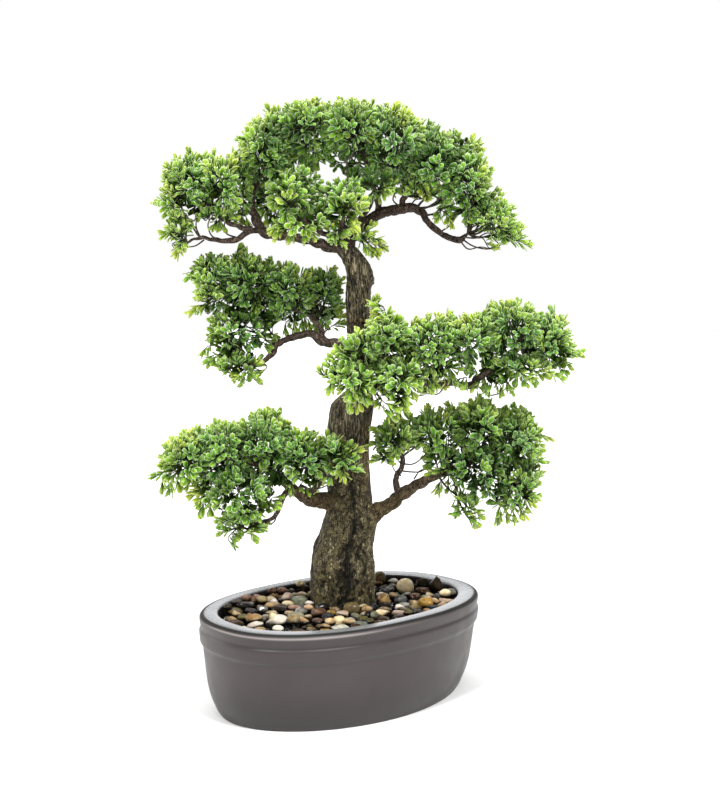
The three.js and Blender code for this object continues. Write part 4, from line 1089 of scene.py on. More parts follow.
def footprint(pts, tris):
    """Under and upper height of a stone over a small grid about its centre."""
    m = int(math.ceil(np.abs(pts[:, :2]).max() / CELL)) + 1
    ax = np.arange(-m, m + 1) * CELL
    gx, gy = np.meshgrid(ax, ax, indexing="ij")
    flat = np.stack([gx.ravel(), gy.ravel()], -1)
    # the stone's triangles over each grid point give its under and upper height
    lo = np.full(len(flat), np.inf)
    hi = np.full(len(flat), -np.inf)
    r2 = ((pts[:, :2] / np.abs(pts[:, :2]).max(0)) ** 2).sum(1)
    tri = pts[tris]
    mins, maxs = tri[:, :, :2].min(1), tri[:, :, :2].max(1)
    a, b, c = tri[:, 0], tri[:, 1], tri[:, 2]
    den = (b[:, 1] - c[:, 1]) * (a[:, 0] - c[:, 0]) + (c[:, 0] - b[:, 0]) * (a[:, 1] - c[:, 1])
    ok = np.abs(den) > 1e-9
    a, b, c, den = a[ok], b[ok], c[ok], den[ok]
    px, py = flat[:, 0][:, None], flat[:, 1][:, None]
    w0 = ((b[:, 1] - c[:, 1]) * (px - c[:, 0]) + (c[:, 0] - b[:, 0]) * (py - c[:, 1])) / den
    w1 = ((c[:, 1] - a[:, 1]) * (px - c[:, 0]) + (a[:, 0] - c[:, 0]) * (py - c[:, 1])) / den
    w2 = 1 - w0 - w1
    inside = (w0 >= -1e-6) & (w1 >= -1e-6) & (w2 >= -1e-6)
    z = w0 * a[:, 2] + w1 * b[:, 2] + w2 * c[:, 2]
    lo = np.where(inside, z, np.inf).min(1)
    hi = np.where(inside, z, -np.inf).max(1)
    keep = np.isfinite(lo)
    ii = np.round(flat[keep] / CELL).astype(int)
    return ii, lo[keep], hi[keep]


def make_pebbles():
    rng = np.random.default_rng(20417)
    nx, ny = len(HG_X), len(HG_Y)
    gx, gy = np.meshgrid(HG_X, HG_Y, indexing="ij")
    H = np.full((nx, ny), 54.2)
    a, b = pot_inner(60.0)
    wall = (np.abs(gx / (a - 0.6)) ** OVAL + np.abs(gy / (b - 0.6)) ** OVAL) > 1
    H[wall] = 1e3
    # the trunk's foot, in the row frame
    tx, ty, tr = trunk_at(62.0)
    rx, ry = gx * COS - gy * SIN, gx * SIN + gy * COS      # row frame to tree frame
    foot = ((rx - tx) / (tr + 0.4)) ** 2 + ((ry - ty) / (tr * DEPTH + 0.4)) ** 2 < 1
    H[foot] = 1e3
    kinds = [k for k, _ in MIX]
    prob = np.array([w for _, w in MIX], float)
    prob /= prob.sum()
    bulk, big, taken = Builder(), {}, np.zeros((nx, ny), bool)
    tops = []

    def rest(ix, iy, ii, lo):
        jx, jy = ix + ii[:, 0], iy + ii[:, 1]
        if jx.min() < 0 or jy.min() < 0 or jx.max() >= nx or jy.max() >= ny:
            return 1e3
        return (H[jx, jy] - lo).max()

    def place(builder, pts, ico, x, y, z, ix, iy, ii, hi, kind, level):
        jx, jy = ix + ii[:, 0], iy + ii[:, 1]
        H[jx, jy] = np.maximum(H[jx, jy], z + hi)
        ca, cb = STONE[kind]
        s = rng.uniform(0.86, 1.10) if builder is bulk else 1.06
        c1 = np.clip(np.array(ca) * s + rng.normal(0, 5) + rng.normal(0, 2, 3), 5, 250)
        c2 = np.clip(np.array(cb) * s * rng.uniform(0.9, 1.05) + rng.normal(0, 4) + rng.normal(0, 2, 3), 4, 250)
        m = len(pts)
        vein = 0.0 if level == 3 or rng.uniform() < 0.86 else rng.uniform(0.3, 0.7)
        speck = 0.15 if rng.uniform() < 0.6 else rng.uniform(0.4, 1.0)
        # painted shade on the lower half of each stone, and deeper in the bed
        up = pts[:, 2] / max(pts[:, 2].max(), 1e-6)
        if builder is bulk:
            sink = np.clip(smooth(0.56, -0.44, up) + smooth(65.4, 60.8, z + pts[:, 2]), 0, 1)
        else:
            sink = smooth(-0.05, -0.90, up)
        builder.add(pts + np.array([x, y, z]), tris=ico[1],
                    stone=np.tile(rgb(*c1)[:3], (m, 1)), stone2=np.tile(rgb(*c2)[:3], (m, 1)),
                    kind=np.tile([rng.uniform(), vein, speck], (m, 1)), sink=sink)

    def spin(p, yaw, tilt_a, tilt):
        p = p.copy()
        c, s = math.cos(tilt), math.sin(tilt)
        k = np.array([math.cos(tilt_a), math.sin(tilt_a), 0.0])
        p = p * c + np.cross(k, p) * s + np.outer(p @ k, k) * (1 - c)
        c, s = math.cos(yaw), math.sin(yaw)
        return np.stack([p[:, 0] * c - p[:, 1] * s, p[:, 0] * s + p[:, 1] * c, p[:, 2]], -1)

    def drop(n, size_lo, size_hi, tries, top_cap, avoid=True, ico=ICO2):
        count = 0
        misses = 0
        while count < n and misses < 140:
            L = rng.uniform(size_lo, size_hi) / 2
            hw = L * rng.uniform(0.66, 0.92)
            hh = min(L * rng.uniform(0.46, 0.74), 4.2)
            ang = rng.uniform(0.2, 1.0) if rng.uniform() < 0.62 else rng.uniform(0, 0.3)
            p = spin(stone_shape(rng, (L, hw, hh), ang, ico), rng.uniform(0, 6.283), rng.uniform(0, 6.283), abs(rng.normal(0, 0.22)))
            ii, lo, hi = footprint(p, ico[1])
            best, at = 1e9, None
            for _ in range(tries):
                ix, iy = int(rng.integers(8, nx - 8)), int(rng.integers(8, ny - 8))
                if H[ix, iy] > 900 or (avoid and taken[ix, iy]):
                    continue
                jx, jy = ix + ii[:, 0], iy + ii[:, 1]
                if jx.min() < 0 or jy.min() < 0 or jx.max() >= nx or jy.max() >= ny:
                    continue
                if avoid and taken[jx, jy].mean() > 0.12:
                    continue
                z = rest(ix, iy, ii, lo)
                if z < best:
                    best, at = z, (ix, iy)
            if at is None or best + hi.max() > top_cap:
                misses += 1
                continue
            ix, iy = at
            place(bulk, p, ico, HG_X[ix], HG_Y[iy], best, ix, iy, ii, hi, kinds[int(rng.choice(len(kinds), p=prob))], 2)
            count += 1
        return count

    n0 = drop(150, 8.0, 11.5, 26, 61.0, avoid=False, ico=ICO1)
    # the stones that the photo lets one name, each lowered until it rests
    for u, v, w, h, kind, ang, node in SEEN:
        z = 63.2
        ico = ICO3 if node else ICO2
        scale = 0.7057 * (896.0 + 0.0) / 896.0
        half = (w * scale / 2, w * scale / 2 * rng.uniform(0.78, 0.95), min(h * scale / 2 * 1.02, 4.6) if node not in TALL else TALL[node])
        if not node and rng.uniform() < 0.55:
            ang = ang + 0.35
        base = stone_shape(rng, half, ang, ico, 0.86 if node == "pebble_02" else 0.0)
        pr = base
        c, s = COS, -SIN                                  # face the view
        p = np.stack([pr[:, 0] * c - pr[:, 1] * s, pr[:, 0] * s + pr[:, 1] * c, pr[:, 2]], -1)
        ii, lo, hi = footprint(p, ico[1])
        for _ in range(4):
            q = ray_at_z(u, v, z)
            q = turn(q) * 1000.0
            ix, iy = int(round((q[0] + HX) / CELL)), int(round((q[1] + HY) / CELL))
            got = rest(ix, iy, ii, lo)
            if got > 900:
                z += 0.8
                continue
            z = 0.5 * z + 0.5 * min(max(got, 60.5), 66.0)
        q = turn(ray_at_z(u, v, z)) * 1000.0
        # keep clear of the wall and the trunk
        for _ in range(30):
            ix, iy = int(round((q[0] + HX) / CELL)), int(round((q[1] + HY) / CELL))
            jx, jy = np.clip(ix + ii[:, 0], 0, nx - 1), np.clip(iy + ii[:, 1], 0, ny - 1)
            hit = H[jx, jy] > 900
            if not hit.any():
                break
            away = q[:2] - np.array([HG_X[jx[hit]].mean(), HG_Y[jy[hit]].mean()])
            q[:2] += unit(away) * 0.6
        got = rest(ix, iy, ii, lo)
        if got > 900:
            continue
        z = got
        if z > 66.5:
            z = 66.5
        target = bulk
        if node:
            target = big.setdefault(node, Builder())
        place(target, p, ico, q[0], q[1], z, ix, iy, ii, hi, kind, 3)
        jx, jy = ix + ii[:, 0], iy + ii[:, 1]
        rim = ((ii ** 2).sum(1) < (0.90 * math.sqrt((ii ** 2).sum(1).max())) ** 2)
        # nothing is laid on it, nor right in front of it
        for s in range(0, 11 if node else 3, 2):
            kx, ky = jx[rim] - int(round(0.663 * s)), jy[rim] - int(round(0.749 * s))
            taken[np.clip(kx, 0, nx - 1), np.clip(ky, 0, ny - 1)] = True
    n1 = drop(150, 9.5, 14.0, 60, 66.2)
    n2 = drop(150, 7.0, 10.5, 90, 66.0)
    vis = ~wall & ~foot
    print("pebbles", n0, n1, n2, "level", float(np.median(H[vis])), float(np.percentile(H[vis], 5)), float(np.percentile(H[vis], 95)))
    ob = bulk.make("pebble_layer", [M_STONE], space=identity)
    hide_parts("pebble_bed")
    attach(ob, "root")
    out = [ob]
    for node, bb in big.items():
        o = bb.make(node + "_stone", [M_STONE], space=identity)
        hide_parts(node)
        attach(o, "root")
        out.append(o)
    return out



# ------------------------------------------------------------------ foliage
# each clump as ellipsoids: centre x, y, z, then half sizes
LEAVES = {
    "leaves_crown_left_outer": [(-108.3, -1, 357.4, 20.8, 34, 25.7), (-114.4, -5, 329, 13.9, 24, 15.3)],
    "leaves_crown_left_inner": [(-79.4, 2, 361.7, 20.2, 38, 25.8), (-86.3, -1, 336.7, 17.4, 26, 11.8)],
    "leaves_crown_top_left": [(-51.2, 8, 385, 23.8, 44, 26.6)],
    "leaves_crown_top_front": [(-23.1, 8, 398.8, 23.7, 50, 23.1)],
    "leaves_crown_top_middle": [(6.2, 10, 400.4, 23.8, 54, 22.4)],
    "leaves_crown_top_right": [(37, 10, 390.7, 23.8, 50, 25.9)],
    "leaves_crown_shoulder": [(65.1, 10, 376.2, 21.1, 44, 25.3), (58.1, 8, 353.9, 16.8, 28, 10.5)],
    "leaves_crown_right_outer": [(87.5, 8, 360.8, 18.9, 38, 28), (107.2, 6, 334.3, 18.9, 30, 18.2)],
    "leaves_crown_under": [(24.3, 2, 359.7, 17.4, 30, 13.9)],
    "leaves_crown_front_left": [(-33.2, -30, 350, 18.2, 26, 18.8), (-26, -28, 331.4, 18.9, 23, 11.5)],
    "leaves_crown_front_right": [(4.5, -32, 343.8, 15.4, 24, 16.8), (-4.3, -29, 326.6, 13.5, 17, 8.8)],
    "leaves_crown_low_spray": [(18.1, -2, 320.8, 11.1, 12, 9.1)],
    "leaves_crown_back_left": [(-48.1, 44, 360.6, 21.2, 26, 21.9)],
    "leaves_crown_back_right": [(37.4, 50, 374.1, 22, 26, 19.1)],
    "leaves_mid_left_outer": [(-91.3, 14, 290.9, 19.2, 34, 24.2)],
    "leaves_mid_left_top": [(-64.7, 19, 293.8, 21.4, 42, 24.3)],
    "leaves_mid_left_inner": [(-36.2, 21, 286.6, 20.1, 40, 21.5), (-12.9, 30, 283, 13.8, 28, 21)],
    "leaves_mid_left_low": [(-74.3, 12, 259.8, 22.8, 30, 15.7)],
    "leaves_mid_left_tip": [(-73.5, 8, 232.9, 22, 22, 12.8)],
    "leaves_mid_front_top": [(11.8, -34, 245.9, 18.3, 26, 15.6), (30.9, -30, 255.9, 16.3, 27, 18.3)],
    "leaves_mid_front_low": [(7.8, -38, 227.9, 17.5, 26, 14.2), (38.8, -39, 228.6, 17.5, 28, 16.2)],
    "leaves_mid_right_inner": [(62, -20, 250.6, 19.2, 35, 22.7)],
    "leaves_mid_right_middle": [(89.4, -12, 255.8, 19.4, 40, 21.5)],
    "leaves_mid_right_top": [(119.2, -6, 263.2, 20.9, 40, 20.9)],
    "leaves_mid_right_outer": [(147.1, -2, 253.3, 19.6, 33, 20.3)],
    "leaves_mid_right_low": [(124.9, -8, 231.9, 25.1, 28, 12.6)],
    "leaves_low_left_outer": [(-108.7, -10, 171.7, 21.7, 33, 21.7)],
    "leaves_low_left_top": [(-81.3, -4, 176.5, 21.1, 42, 24)],
    "leaves_low_left_middle": [(-54.6, -2, 182, 21.2, 42, 24)],
    "leaves_low_left_inner": [(-27.5, -8, 172.8, 19.7, 34, 21.1), (-2, -25, 175.1, 14.5, 18, 14.5)],
    "leaves_low_left_front": [(-73.1, -18, 148.2, 25.1, 30, 18.1)],
    "leaves_low_left_tip": [(-73.3, -18, 122.8, 15.4, 20, 12.6)],
    "leaves_low_right_inner": [(38.7, 2, 182.2, 17, 30, 17.7)],
    "leaves_low_right_top": [(68.1, 8, 187.9, 20.7, 38, 19.3), (96.3, 12, 191.8, 20.8, 42, 22.2)],
    "leaves_low_right_outer": [(126, 14, 182.9, 20.8, 36, 23)],
    "leaves_low_right_front": [(95.6, 2, 162.8, 21.3, 30, 17.8)],
    "leaves_low_right_tip": [(128.1, 10, 147.2, 18.7, 28, 23), (91.6, 2, 132.6, 11.4, 12, 9.3)],
}
# the leaf masses' outlines as the camera sees them, in the picture's frame
OUTLINE = {
    "crown": [(154, 203), (160, 190), (163, 167), (170, 158), (176, 155), (188, 147), (200, 151), (211, 152), (222, 158), (234, 151),
              (242, 147), (238, 139), (249, 125), (257, 117), (273, 107), (293, 101), (316, 97), (330, 103), (344, 97), (360, 102),
              (371, 98), (381, 104), (391, 102), (408, 107), (416, 117), (434, 122), (449, 131), (462, 130), (480, 137), (484, 154),
              (492, 169), (489, 182), (500, 192), (516, 205), (521, 226), (530, 247), (520, 252), (507, 249), (494, 240), (492, 229),
              (474, 229), (446, 226), (433, 218), (437, 206), (410, 201), (395, 195), (378, 197), (370, 206), (362, 218), (352, 233),
              (344, 250), (329, 248), (322, 240), (298, 244), (276, 241), (266, 229), (254, 222), (242, 225), (229, 229), (206, 230),
              (188, 230), (190, 246), (174, 257), (163, 257), (159, 238), (166, 228), (161, 215)],
    "spray": [(350, 232), (362, 226), (372, 229), (377, 238), (385, 241), (383, 247), (377, 257), (370, 256), (362, 249), (351, 246)],
    "mid_left": [(184, 275), (187, 266), (197, 257), (211, 250), (228, 253), (237, 244), (245, 250), (250, 254), (266, 261), (275, 258),
                 (290, 262), (301, 270), (315, 266), (334, 265), (348, 280), (348, 327), (334, 329), (323, 332), (299, 333), (280, 334),
                 (274, 346), (268, 355), (266, 372), (258, 386), (249, 392), (236, 386), (225, 383), (215, 371), (203, 359), (195, 351),
                 (204, 342), (209, 336), (205, 324), (194, 318), (187, 308), (192, 300), (200, 290)],
    "mid_right": [(310, 374), (321, 366), (331, 353), (336, 337), (348, 330), (363, 329), (370, 315), (374, 299), (378, 291), (388, 305),
                  (398, 312), (409, 321), (418, 321), (425, 314), (439, 308), (452, 311), (469, 316), (482, 312), (485, 296), (496, 305),
                  (508, 300), (524, 297), (537, 310), (557, 307), (567, 320), (573, 338), (585, 354), (574, 366), (560, 383), (540, 381),
                  (524, 391), (499, 396), (477, 391), (460, 384), (444, 389), (428, 397), (420, 396), (407, 407), (389, 428), (378, 412),
                  (371, 403), (348, 411), (339, 398), (323, 391)],
    "low_left": [(144, 471), (151, 467), (160, 458), (163, 442), (180, 435), (194, 427), (214, 420), (228, 422), (242, 418), (253, 412),
                 (272, 405), (282, 413), (296, 421), (310, 432), (323, 431), (340, 432), (352, 441), (362, 447), (363, 473), (343, 481),
                 (328, 481), (320, 486), (310, 496), (295, 494), (282, 494), (279, 510), (271, 519), (268, 533), (254, 545), (243, 539),
                 (232, 550), (223, 551), (212, 534), (213, 515), (197, 512), (189, 493), (183, 491), (160, 496), (151, 483)],
    "low_right": [(371, 422), (383, 421), (397, 414), (411, 410), (427, 405), (439, 410), (450, 401), (469, 404), (478, 394), (487, 396),
                  (495, 409), (517, 402), (529, 410), (535, 424), (552, 434), (546, 449), (545, 467), (543, 490), (540, 510), (528, 518),
                  (512, 523), (495, 526), (486, 515), (473, 529), (456, 519), (449, 506), (462, 499), (452, 495), (433, 492), (429, 478),
                  (422, 454), (411, 446), (399, 454), (394, 470), (388, 475), (373, 465), (370, 447)],
}
OUTLINE = {k: np.array(v, float) for k, v in OUTLINE.items()}
HOLE = (328.0, 175.5)
# which branches carry which leaf mass
CARRIED = {
    "crown": ["branch_crown_left", "branch_crown_right", "branch_crown_front", "branch_crown_back"],
    "spray": ["branch_crown_right"],
    "mid_left": ["branch_mid_left"],
    "mid_right": ["branch_mid_front", "branch_mid_right"],
    "low_left": ["branch_low_left"],
    "low_right": ["branch_low_right"],
}
# lean of a clump's green: -1 blue, +1 yellow; and how much painted light it gets
LOOK = {
    "leaves_crown_left_outer": (-0.10, 0.25), "leaves_crown_left_inner": (0.30, 0.35), "leaves_crown_top_left": (0.15, 0.25),
    "leaves_crown_top_front": (0.10, 0.20), "leaves_crown_top_middle": (0.0, 0.15), "leaves_crown_top_right": (0.0, 0.05),
    "leaves_crown_shoulder": (0.0, 0.0), "leaves_crown_right_outer": (0.05, 0.15), "leaves_crown_under": (0.10, -0.10),
    "leaves_crown_back_left": (0.10, 0.10), "leaves_crown_back_right": (0.0, 0.05),
    "leaves_crown_front_left": (0.45, 0.55), "leaves_crown_front_right": (0.35, 0.45), "leaves_crown_low_spray": (0.25, 0.40),
    "leaves_mid_left_outer": (0.15, 0.05), "leaves_mid_left_top": (0.35, -0.05), "leaves_mid_left_inner": (0.25, -0.20),
    "leaves_mid_left_low": (0.30, 0.05), "leaves_mid_left_tip": (0.50, 0.20),
    "leaves_mid_front_top": (0.45, 0.50), "leaves_mid_front_low": (0.45, 0.60),
    "leaves_mid_right_inner": (0.20, 0.30), "leaves_mid_right_middle": (0.10, 0.20), "leaves_mid_right_top": (-0.35, 0.0),
    "leaves_mid_right_outer": (-0.25, 0.10), "leaves_mid_right_low": (0.0, 0.05),
    "leaves_low_left_outer": (0.15, 0.30), "leaves_low_left_top": (0.30, 0.05), "leaves_low_left_middle": (0.15, 0.10),
    "leaves_low_left_inner": (-0.05, 0.0), "leaves_low_left_front": (0.10, 0.20), "leaves_low_left_tip": (0.20, 0.15),
    "leaves_low_right_inner": (0.20, 0.10), "leaves_low_right_top": (0.40, 0.05), "leaves_low_right_outer": (0.25, 0.15),
    "leaves_low_right_front": (0.05, 0.0), "leaves_low_right_tip": (0.20, 0.10),
}


def mass_of(node):
    if node == "leaves_crown_low_spray":
        return "spray"
    for key, mass in (("leaves_crown", "crown"), ("leaves_mid_left", "mid_left"), ("leaves_mid_front", "mid_right"),
                      ("leaves_mid_right", "mid_right"), ("leaves_low_left", "low_left"), ("leaves_low_right", "low_right")):
        if node.startswith(key):
            return mass
    raise ValueError(node)


def outline_distance(poly, uv):
    """Signed distance in pixels from each point to the outline, negative inside."""
    uv = np.atleast_2d(uv)
    a = poly
    b = np.roll(poly, -1, 0)
    ab = b - a
    ap = uv[:, None, :] - a[None]
    t = np.clip((ap * ab[None]).sum(-1) / (ab ** 2).sum(-1)[None], 0, 1)
    d = np.linalg.norm(ap - t[..., None] * ab[None], axis=-1).min(1)
    y0, y1, x0, x1 = a[:, 1], b[:, 1], a[:, 0], b[:, 0]
    up = (y0[None] > uv[:, 1:2]) != (y1[None] > uv[:, 1:2])
    with np.errstate(divide="ignore", invalid="ignore"):
        xi = x0[None] + (uv[:, 1:2] - y0[None]) / (y1 - y0)[None] * (x1 - x0)[None]
    inside = (up & (uv[:, 0:1] < xi)).sum(1) % 2 == 1
    return np.where(inside, -d, d)


class Spacing:
    """Keeps points apart by their own spacing."""

    def __init__(self, cell=8.0):
        self.cell, self.grid = cell, {}

    def near(self, p, r):
        c, m = np.floor(p / self.cell).astype(int), int(math.ceil(r / self.cell))
        for i in range(c[0] - m, c[0] + m + 1):
            for j in range(c[1] - m, c[1] + m + 1):
                for k in range(c[2] - m, c[2] + m + 1):
                    for q in self.grid.get((i, j, k), ()):
                        if (p[0] - q[0]) ** 2 + (p[1] - q[1]) ** 2 + (p[2] - q[2]) ** 2 < r * r:
                            return True
        return False

    def put(self, p):
        c = np.floor(p / self.cell).astype(int)
        self.grid.setdefault((c[0], c[1], c[2]), []).append(tuple(p))


def hermite(p0, p1, t0, t1, n):
    t = np.linspace(0, 1, n)[:, None]
    return (2 * t**3 - 3 * t**2 + 1) * p0 + (t**3 - 2 * t**2 + t) * t0 + (-2 * t**3 + 3 * t**2) * p1 + (t**3 - t**2) * t1


REACH = 6.0                       # a sprig's leaves stand this far past its tip, mm
FINE = (np.array([0.27, 0.64, 0.90]), np.array([0.30, 0.98, 0.80]))
EVEN = (np.array([0.40, 0.80]), np.array([0.56, 1.00]))
PLAIN = (np.array([0.36, 0.78]), np.array([0.42, 1.00]))


def leaf_faces(rows_t):
    n = len(rows_t)
    q, t = [], []
    for k in range(n - 1):
        for j in range(4):
            a, b = 1 + 4 * k + j, 1 + 4 * k + (j + 1) % 4
            q.append((a, b, b + 4, a + 4))
    for j in range(4):
        t.append((0, 1 + (j + 1) % 4, 1 + j))
        a = 1 + 4 * (n - 1)
        t.append((1 + 4 * n, a + j, a + (j + 1) % 4))
    uv = np.vstack([[[0, 0.02]]] + [[[-1, v], [0, v], [1, v], [0, v]] for v in rows_t] + [[[0, 1.0]]])
    return np.array(q), np.array(t), uv


def leaf_meshes(kind, base, axis, radial, tilt, bend, length, width, cup, roll, thick=0.42):
    """Vertices of many leaves at once. axis and radial are unit and square to each other."""
    ROWS_T, ROWS_W = kind
    n = len(base)
    side = np.cross(axis, radial)
    t = np.concatenate([[0.0], ROWS_T, [1.0]])
    k = np.where(np.abs(bend) < 1e-3, 1e-3, bend)
    th = tilt[:, None] + k[:, None] * t[None]
    fa = (np.sin(th) - np.sin(tilt)[:, None]) / k[:, None] * length[:, None]
    fr = (np.cos(tilt)[:, None] - np.cos(th)) / k[:, None] * length[:, None]
    mid = base[:, None, :] + fa[..., None] * axis[:, None, :] + fr[..., None] * radial[:, None, :]
    nrm = np.sin(th)[..., None] * axis[:, None, :] - np.cos(th)[..., None] * radial[:, None, :]
    c, s = np.cos(roll)[:, None, None], np.sin(roll)[:, None, None]
    sd = c * side[:, None, :] + s * nrm
    nn = -s * side[:, None, :] + c * nrm
    w = (width / 2)[:, None, None] * ROWS_W[None, :, None]
    m = mid[:, 1:-1]
    sr, nr = np.broadcast_to(sd, mid.shape)[:, 1:-1], nn[:, 1:-1]
    lift = cup[:, None, None] * w
    th_row = thick * (0.65 + 0.35 * np.sin(np.pi * ROWS_T))[None, :, None]
    rows = np.stack([m - sr * w + nr * lift, m + nr * th_row * 0.35, m + sr * w + nr * lift, m - nr * th_row * 0.65], 2)
    tip = mid[:, -1:]
    return np.concatenate([mid[:, :1], rows.reshape(n, -1, 3), tip], 1)


def sprig_tips(rng):
    """Every sprig: tip, axis, node, outer or inner."""
    nodes = list(LEAVES)
    E = np.array([e for n in nodes for e in LEAVES[n]], float)
    owner = [n for n in nodes for _ in LEAVES[n]]
    mass = np.array([mass_of(n) for n in owner])
    tips = []
    space = {}
    for depth, (shrink, gap, jitter) in enumerate(((REACH, GAP_OUT, 1.8), (REACH + 8.5, GAP_IN, 3.0))):
        cand = []
        for i in range(len(E)):
            c, r = E[i, :3], np.maximum(E[i, 3:] - shrink, 3.0)
            area = 4 * math.pi * (((r[0] * r[1]) ** 1.6 + (r[0] * r[2]) ** 1.6 + (r[1] * r[2]) ** 1.6) / 3) ** (1 / 1.6)
            n = int(area / 9.0)
            d = unit(rng.normal(size=(n * 2, 3)))
            wgt = np.linalg.norm(d / r, axis=1)
            d = d[rng.uniform(size=len(d)) < wgt / wgt.max()]
            p = c + d * r + d * (rng.normal(size=(len(d), 1)) * jitter * 0.5 - 0.3)
            nrm = unit(d / r)
            same = [j for j in range(len(E)) if mass[j] == mass[i] and j != i]
            if same:
                rr = np.maximum(E[same, 3:] - shrink, 3.0)
                q = np.linalg.norm((p[:, None, :] - E[same, :3][None]) / rr[None], axis=-1).min(1)
                ok = q > 0.98
                p, nrm = p[ok], nrm[ok]
            for a, b in zip(p, nrm):
                cand.append((a, b, i))
        order = rng.permutation(len(cand))
        for k in order:
            p, nrm, i = cand[k]
            sp = space.setdefault(mass[i], Spacing())
            g = gap * (1.0 + 0.45 * smooth(-0.25, -0.85, nrm[2])) * rng.uniform(0.9, 1.1)
            if sp.near(p, g):
                continue
            c = E[i, :3]
            out = unit(p - (c - np.array([0, 0, 0.35 * E[i, 5]])))
            rise = 0.20 if owner[i] in FRONTAL else 0.12 + 0.40 * smooth(-0.6, 0.2, nrm[2])
            ax = unit(0.60 * nrm + 0.38 * out + np.array([0, 0, rise]) + rng.normal(size=3) * 0.24)
            poly = OUTLINE[mass[i]]
            ok = False
            for _ in range(7):
                uv0, uv1 = project(p), project(p + ax * REACH)
                d0, d1 = outline_distance(poly, uv0)[0], outline_distance(poly, uv1)[0]
                ok = d0 < -5.0 and d1 < -0.5 if depth == 0 else d0 < -11.0 and d1 < -10.0
                if ok and mass[i] == "crown":
                    h0 = math.hypot((uv0[0] - HOLE[0]) / 14.5, (uv0[1] - HOLE[1]) / 13.0)
                    h1 = math.hypot((uv1[0] - HOLE[0]) / 10.5, (uv1[1] - HOLE[1]) / 9.5)
                    if h0 < 1 or h1 < 1:
                        ok = False
                        p = p + unit(np.array([uv0[0] - HOLE[0], 0.0, -(uv0[1] - HOLE[1])])) * 2.5
                        continue
                if ok:
                    break
                p = p + unit(c - p) * 2.2
            if not ok or sp.near(p, g * 0.7):
                continue
            sp.put(p)
            tips.append((p, ax, owner[i], depth))
    # sprigs that the outline asks for and the clumps haven't given
    for key, poly in OUTLINE.items():
        a, b = poly, np.roll(poly, -1, 0)
        centre_like = [j for j in range(len(E)) if mass[j] == key]
        area2 = float((a[:, 0] * b[:, 1] - b[:, 0] * a[:, 1]).sum())
        for p0, p1 in zip(a, b):
            L = np.linalg.norm(p1 - p0)
            for s in np.arange(0.5, max(1, int(L / 6.5)) + 0.01) / max(1, int(L / 6.5)):
                if s > 1:
                    continue
                edge = p0 + (p1 - p0) * s
                nrm2 = unit(np.array([(p1 - p0)[1], -(p1 - p0)[0]])) * (1 if area2 > 0 else -1)
                at = edge - nrm2 * rng.uniform(6.0, 10.5)
                if outline_distance(poly, at)[0] > -4.5:
                    continue
                w0 = ray_at_y(at[0], at[1], 0.0)
                best, jb = 1e9, None
                for j in centre_like:
                    q = math.hypot((w0[0] - E[j, 0]) / E[j, 3], (w0[2] - E[j, 2]) / E[j, 5])
                    if q < best:
                        best, jb = q, j
                y = E[jb, 1] + rng.normal() * 0.18 * E[jb, 4]
                p = ray_at_y(at[0], at[1], y)
                tp = np.array([t[0] for t in tips if mass_of(t[2]) == key])
                if len(tp) and np.linalg.norm(project(tp) - at, axis=1).min() < 6.6:
                    continue
                ax = unit(np.array([nrm2[0], rng.normal() * 0.25, -nrm2[1]]) + rng.normal(size=3) * 0.15)
                tips.append((p, ax, owner[jb], 0))
    # thin places seen from the front get a sprig on the clump's near face
    for key, poly in OUTLINE.items():
        js = [j for j in range(len(E)) if mass[j] == key]
        R = np.maximum(E[js, 3:] - REACH, 3.0)
        u0, v0 = poly.min(0)
        u1, v1 = poly.max(0)
        spots = np.array([(u, v) for u in np.arange(u0 + 5, u1, 5.5) for v in np.arange(v0 + 5, v1, 5.5)])
        spots = spots + rng.uniform(-1.8, 1.8, size=spots.shape)
        spots = spots[outline_distance(poly, spots) < -8.0]
        spots = spots[rng.permutation(len(spots))]
        front = [project(t[0]) for t in tips if mass_of(t[2]) == key and t[3] == 0 and t[1][1] < 0.45]
        front = np.array(front) if front else np.zeros((1, 2))
        for at in spots:
            if key == "crown" and math.hypot((at[0] - HOLE[0]) / 14.5, (at[1] - HOLE[1]) / 13.0) < 1:
                continue
            if np.linalg.norm(front - at, axis=1).min() < COVER:
                continue
            ys = np.arange(-75.0, 60.0, 1.5)
            line = np.array([ray_at_y(at[0], at[1], y) for y in ys])
            q = np.linalg.norm((line[:, None, :] - E[js, :3][None]) / R[None], axis=-1)
            qm = q.min(1)
            hit = np.nonzero(qm < 1.12)[0]
            k = int(hit[0]) if len(hit) else int(np.argmin(qm))
            if not len(hit) and qm[k] > 1.6:
                continue
            j = js[int(np.argmin(q[k]))]
            p = line[k] + np.array([0.0, rng.uniform(0.0, 6.0), 0.0])
            nrm = unit((p - E[j, :3]) / np.maximum(E[j, 3:] - REACH, 3.0) ** 2)
            ax = unit(0.5 * nrm + np.array([0.0, -0.25, 0.30]) + rng.normal(size=3) * 0.28)
            if outline_distance(poly, project(p + ax * REACH))[0] > 1.0:
                continue
            tips.append((p, ax, owner[j], 0))
            front = np.vstack([front, project(p)])
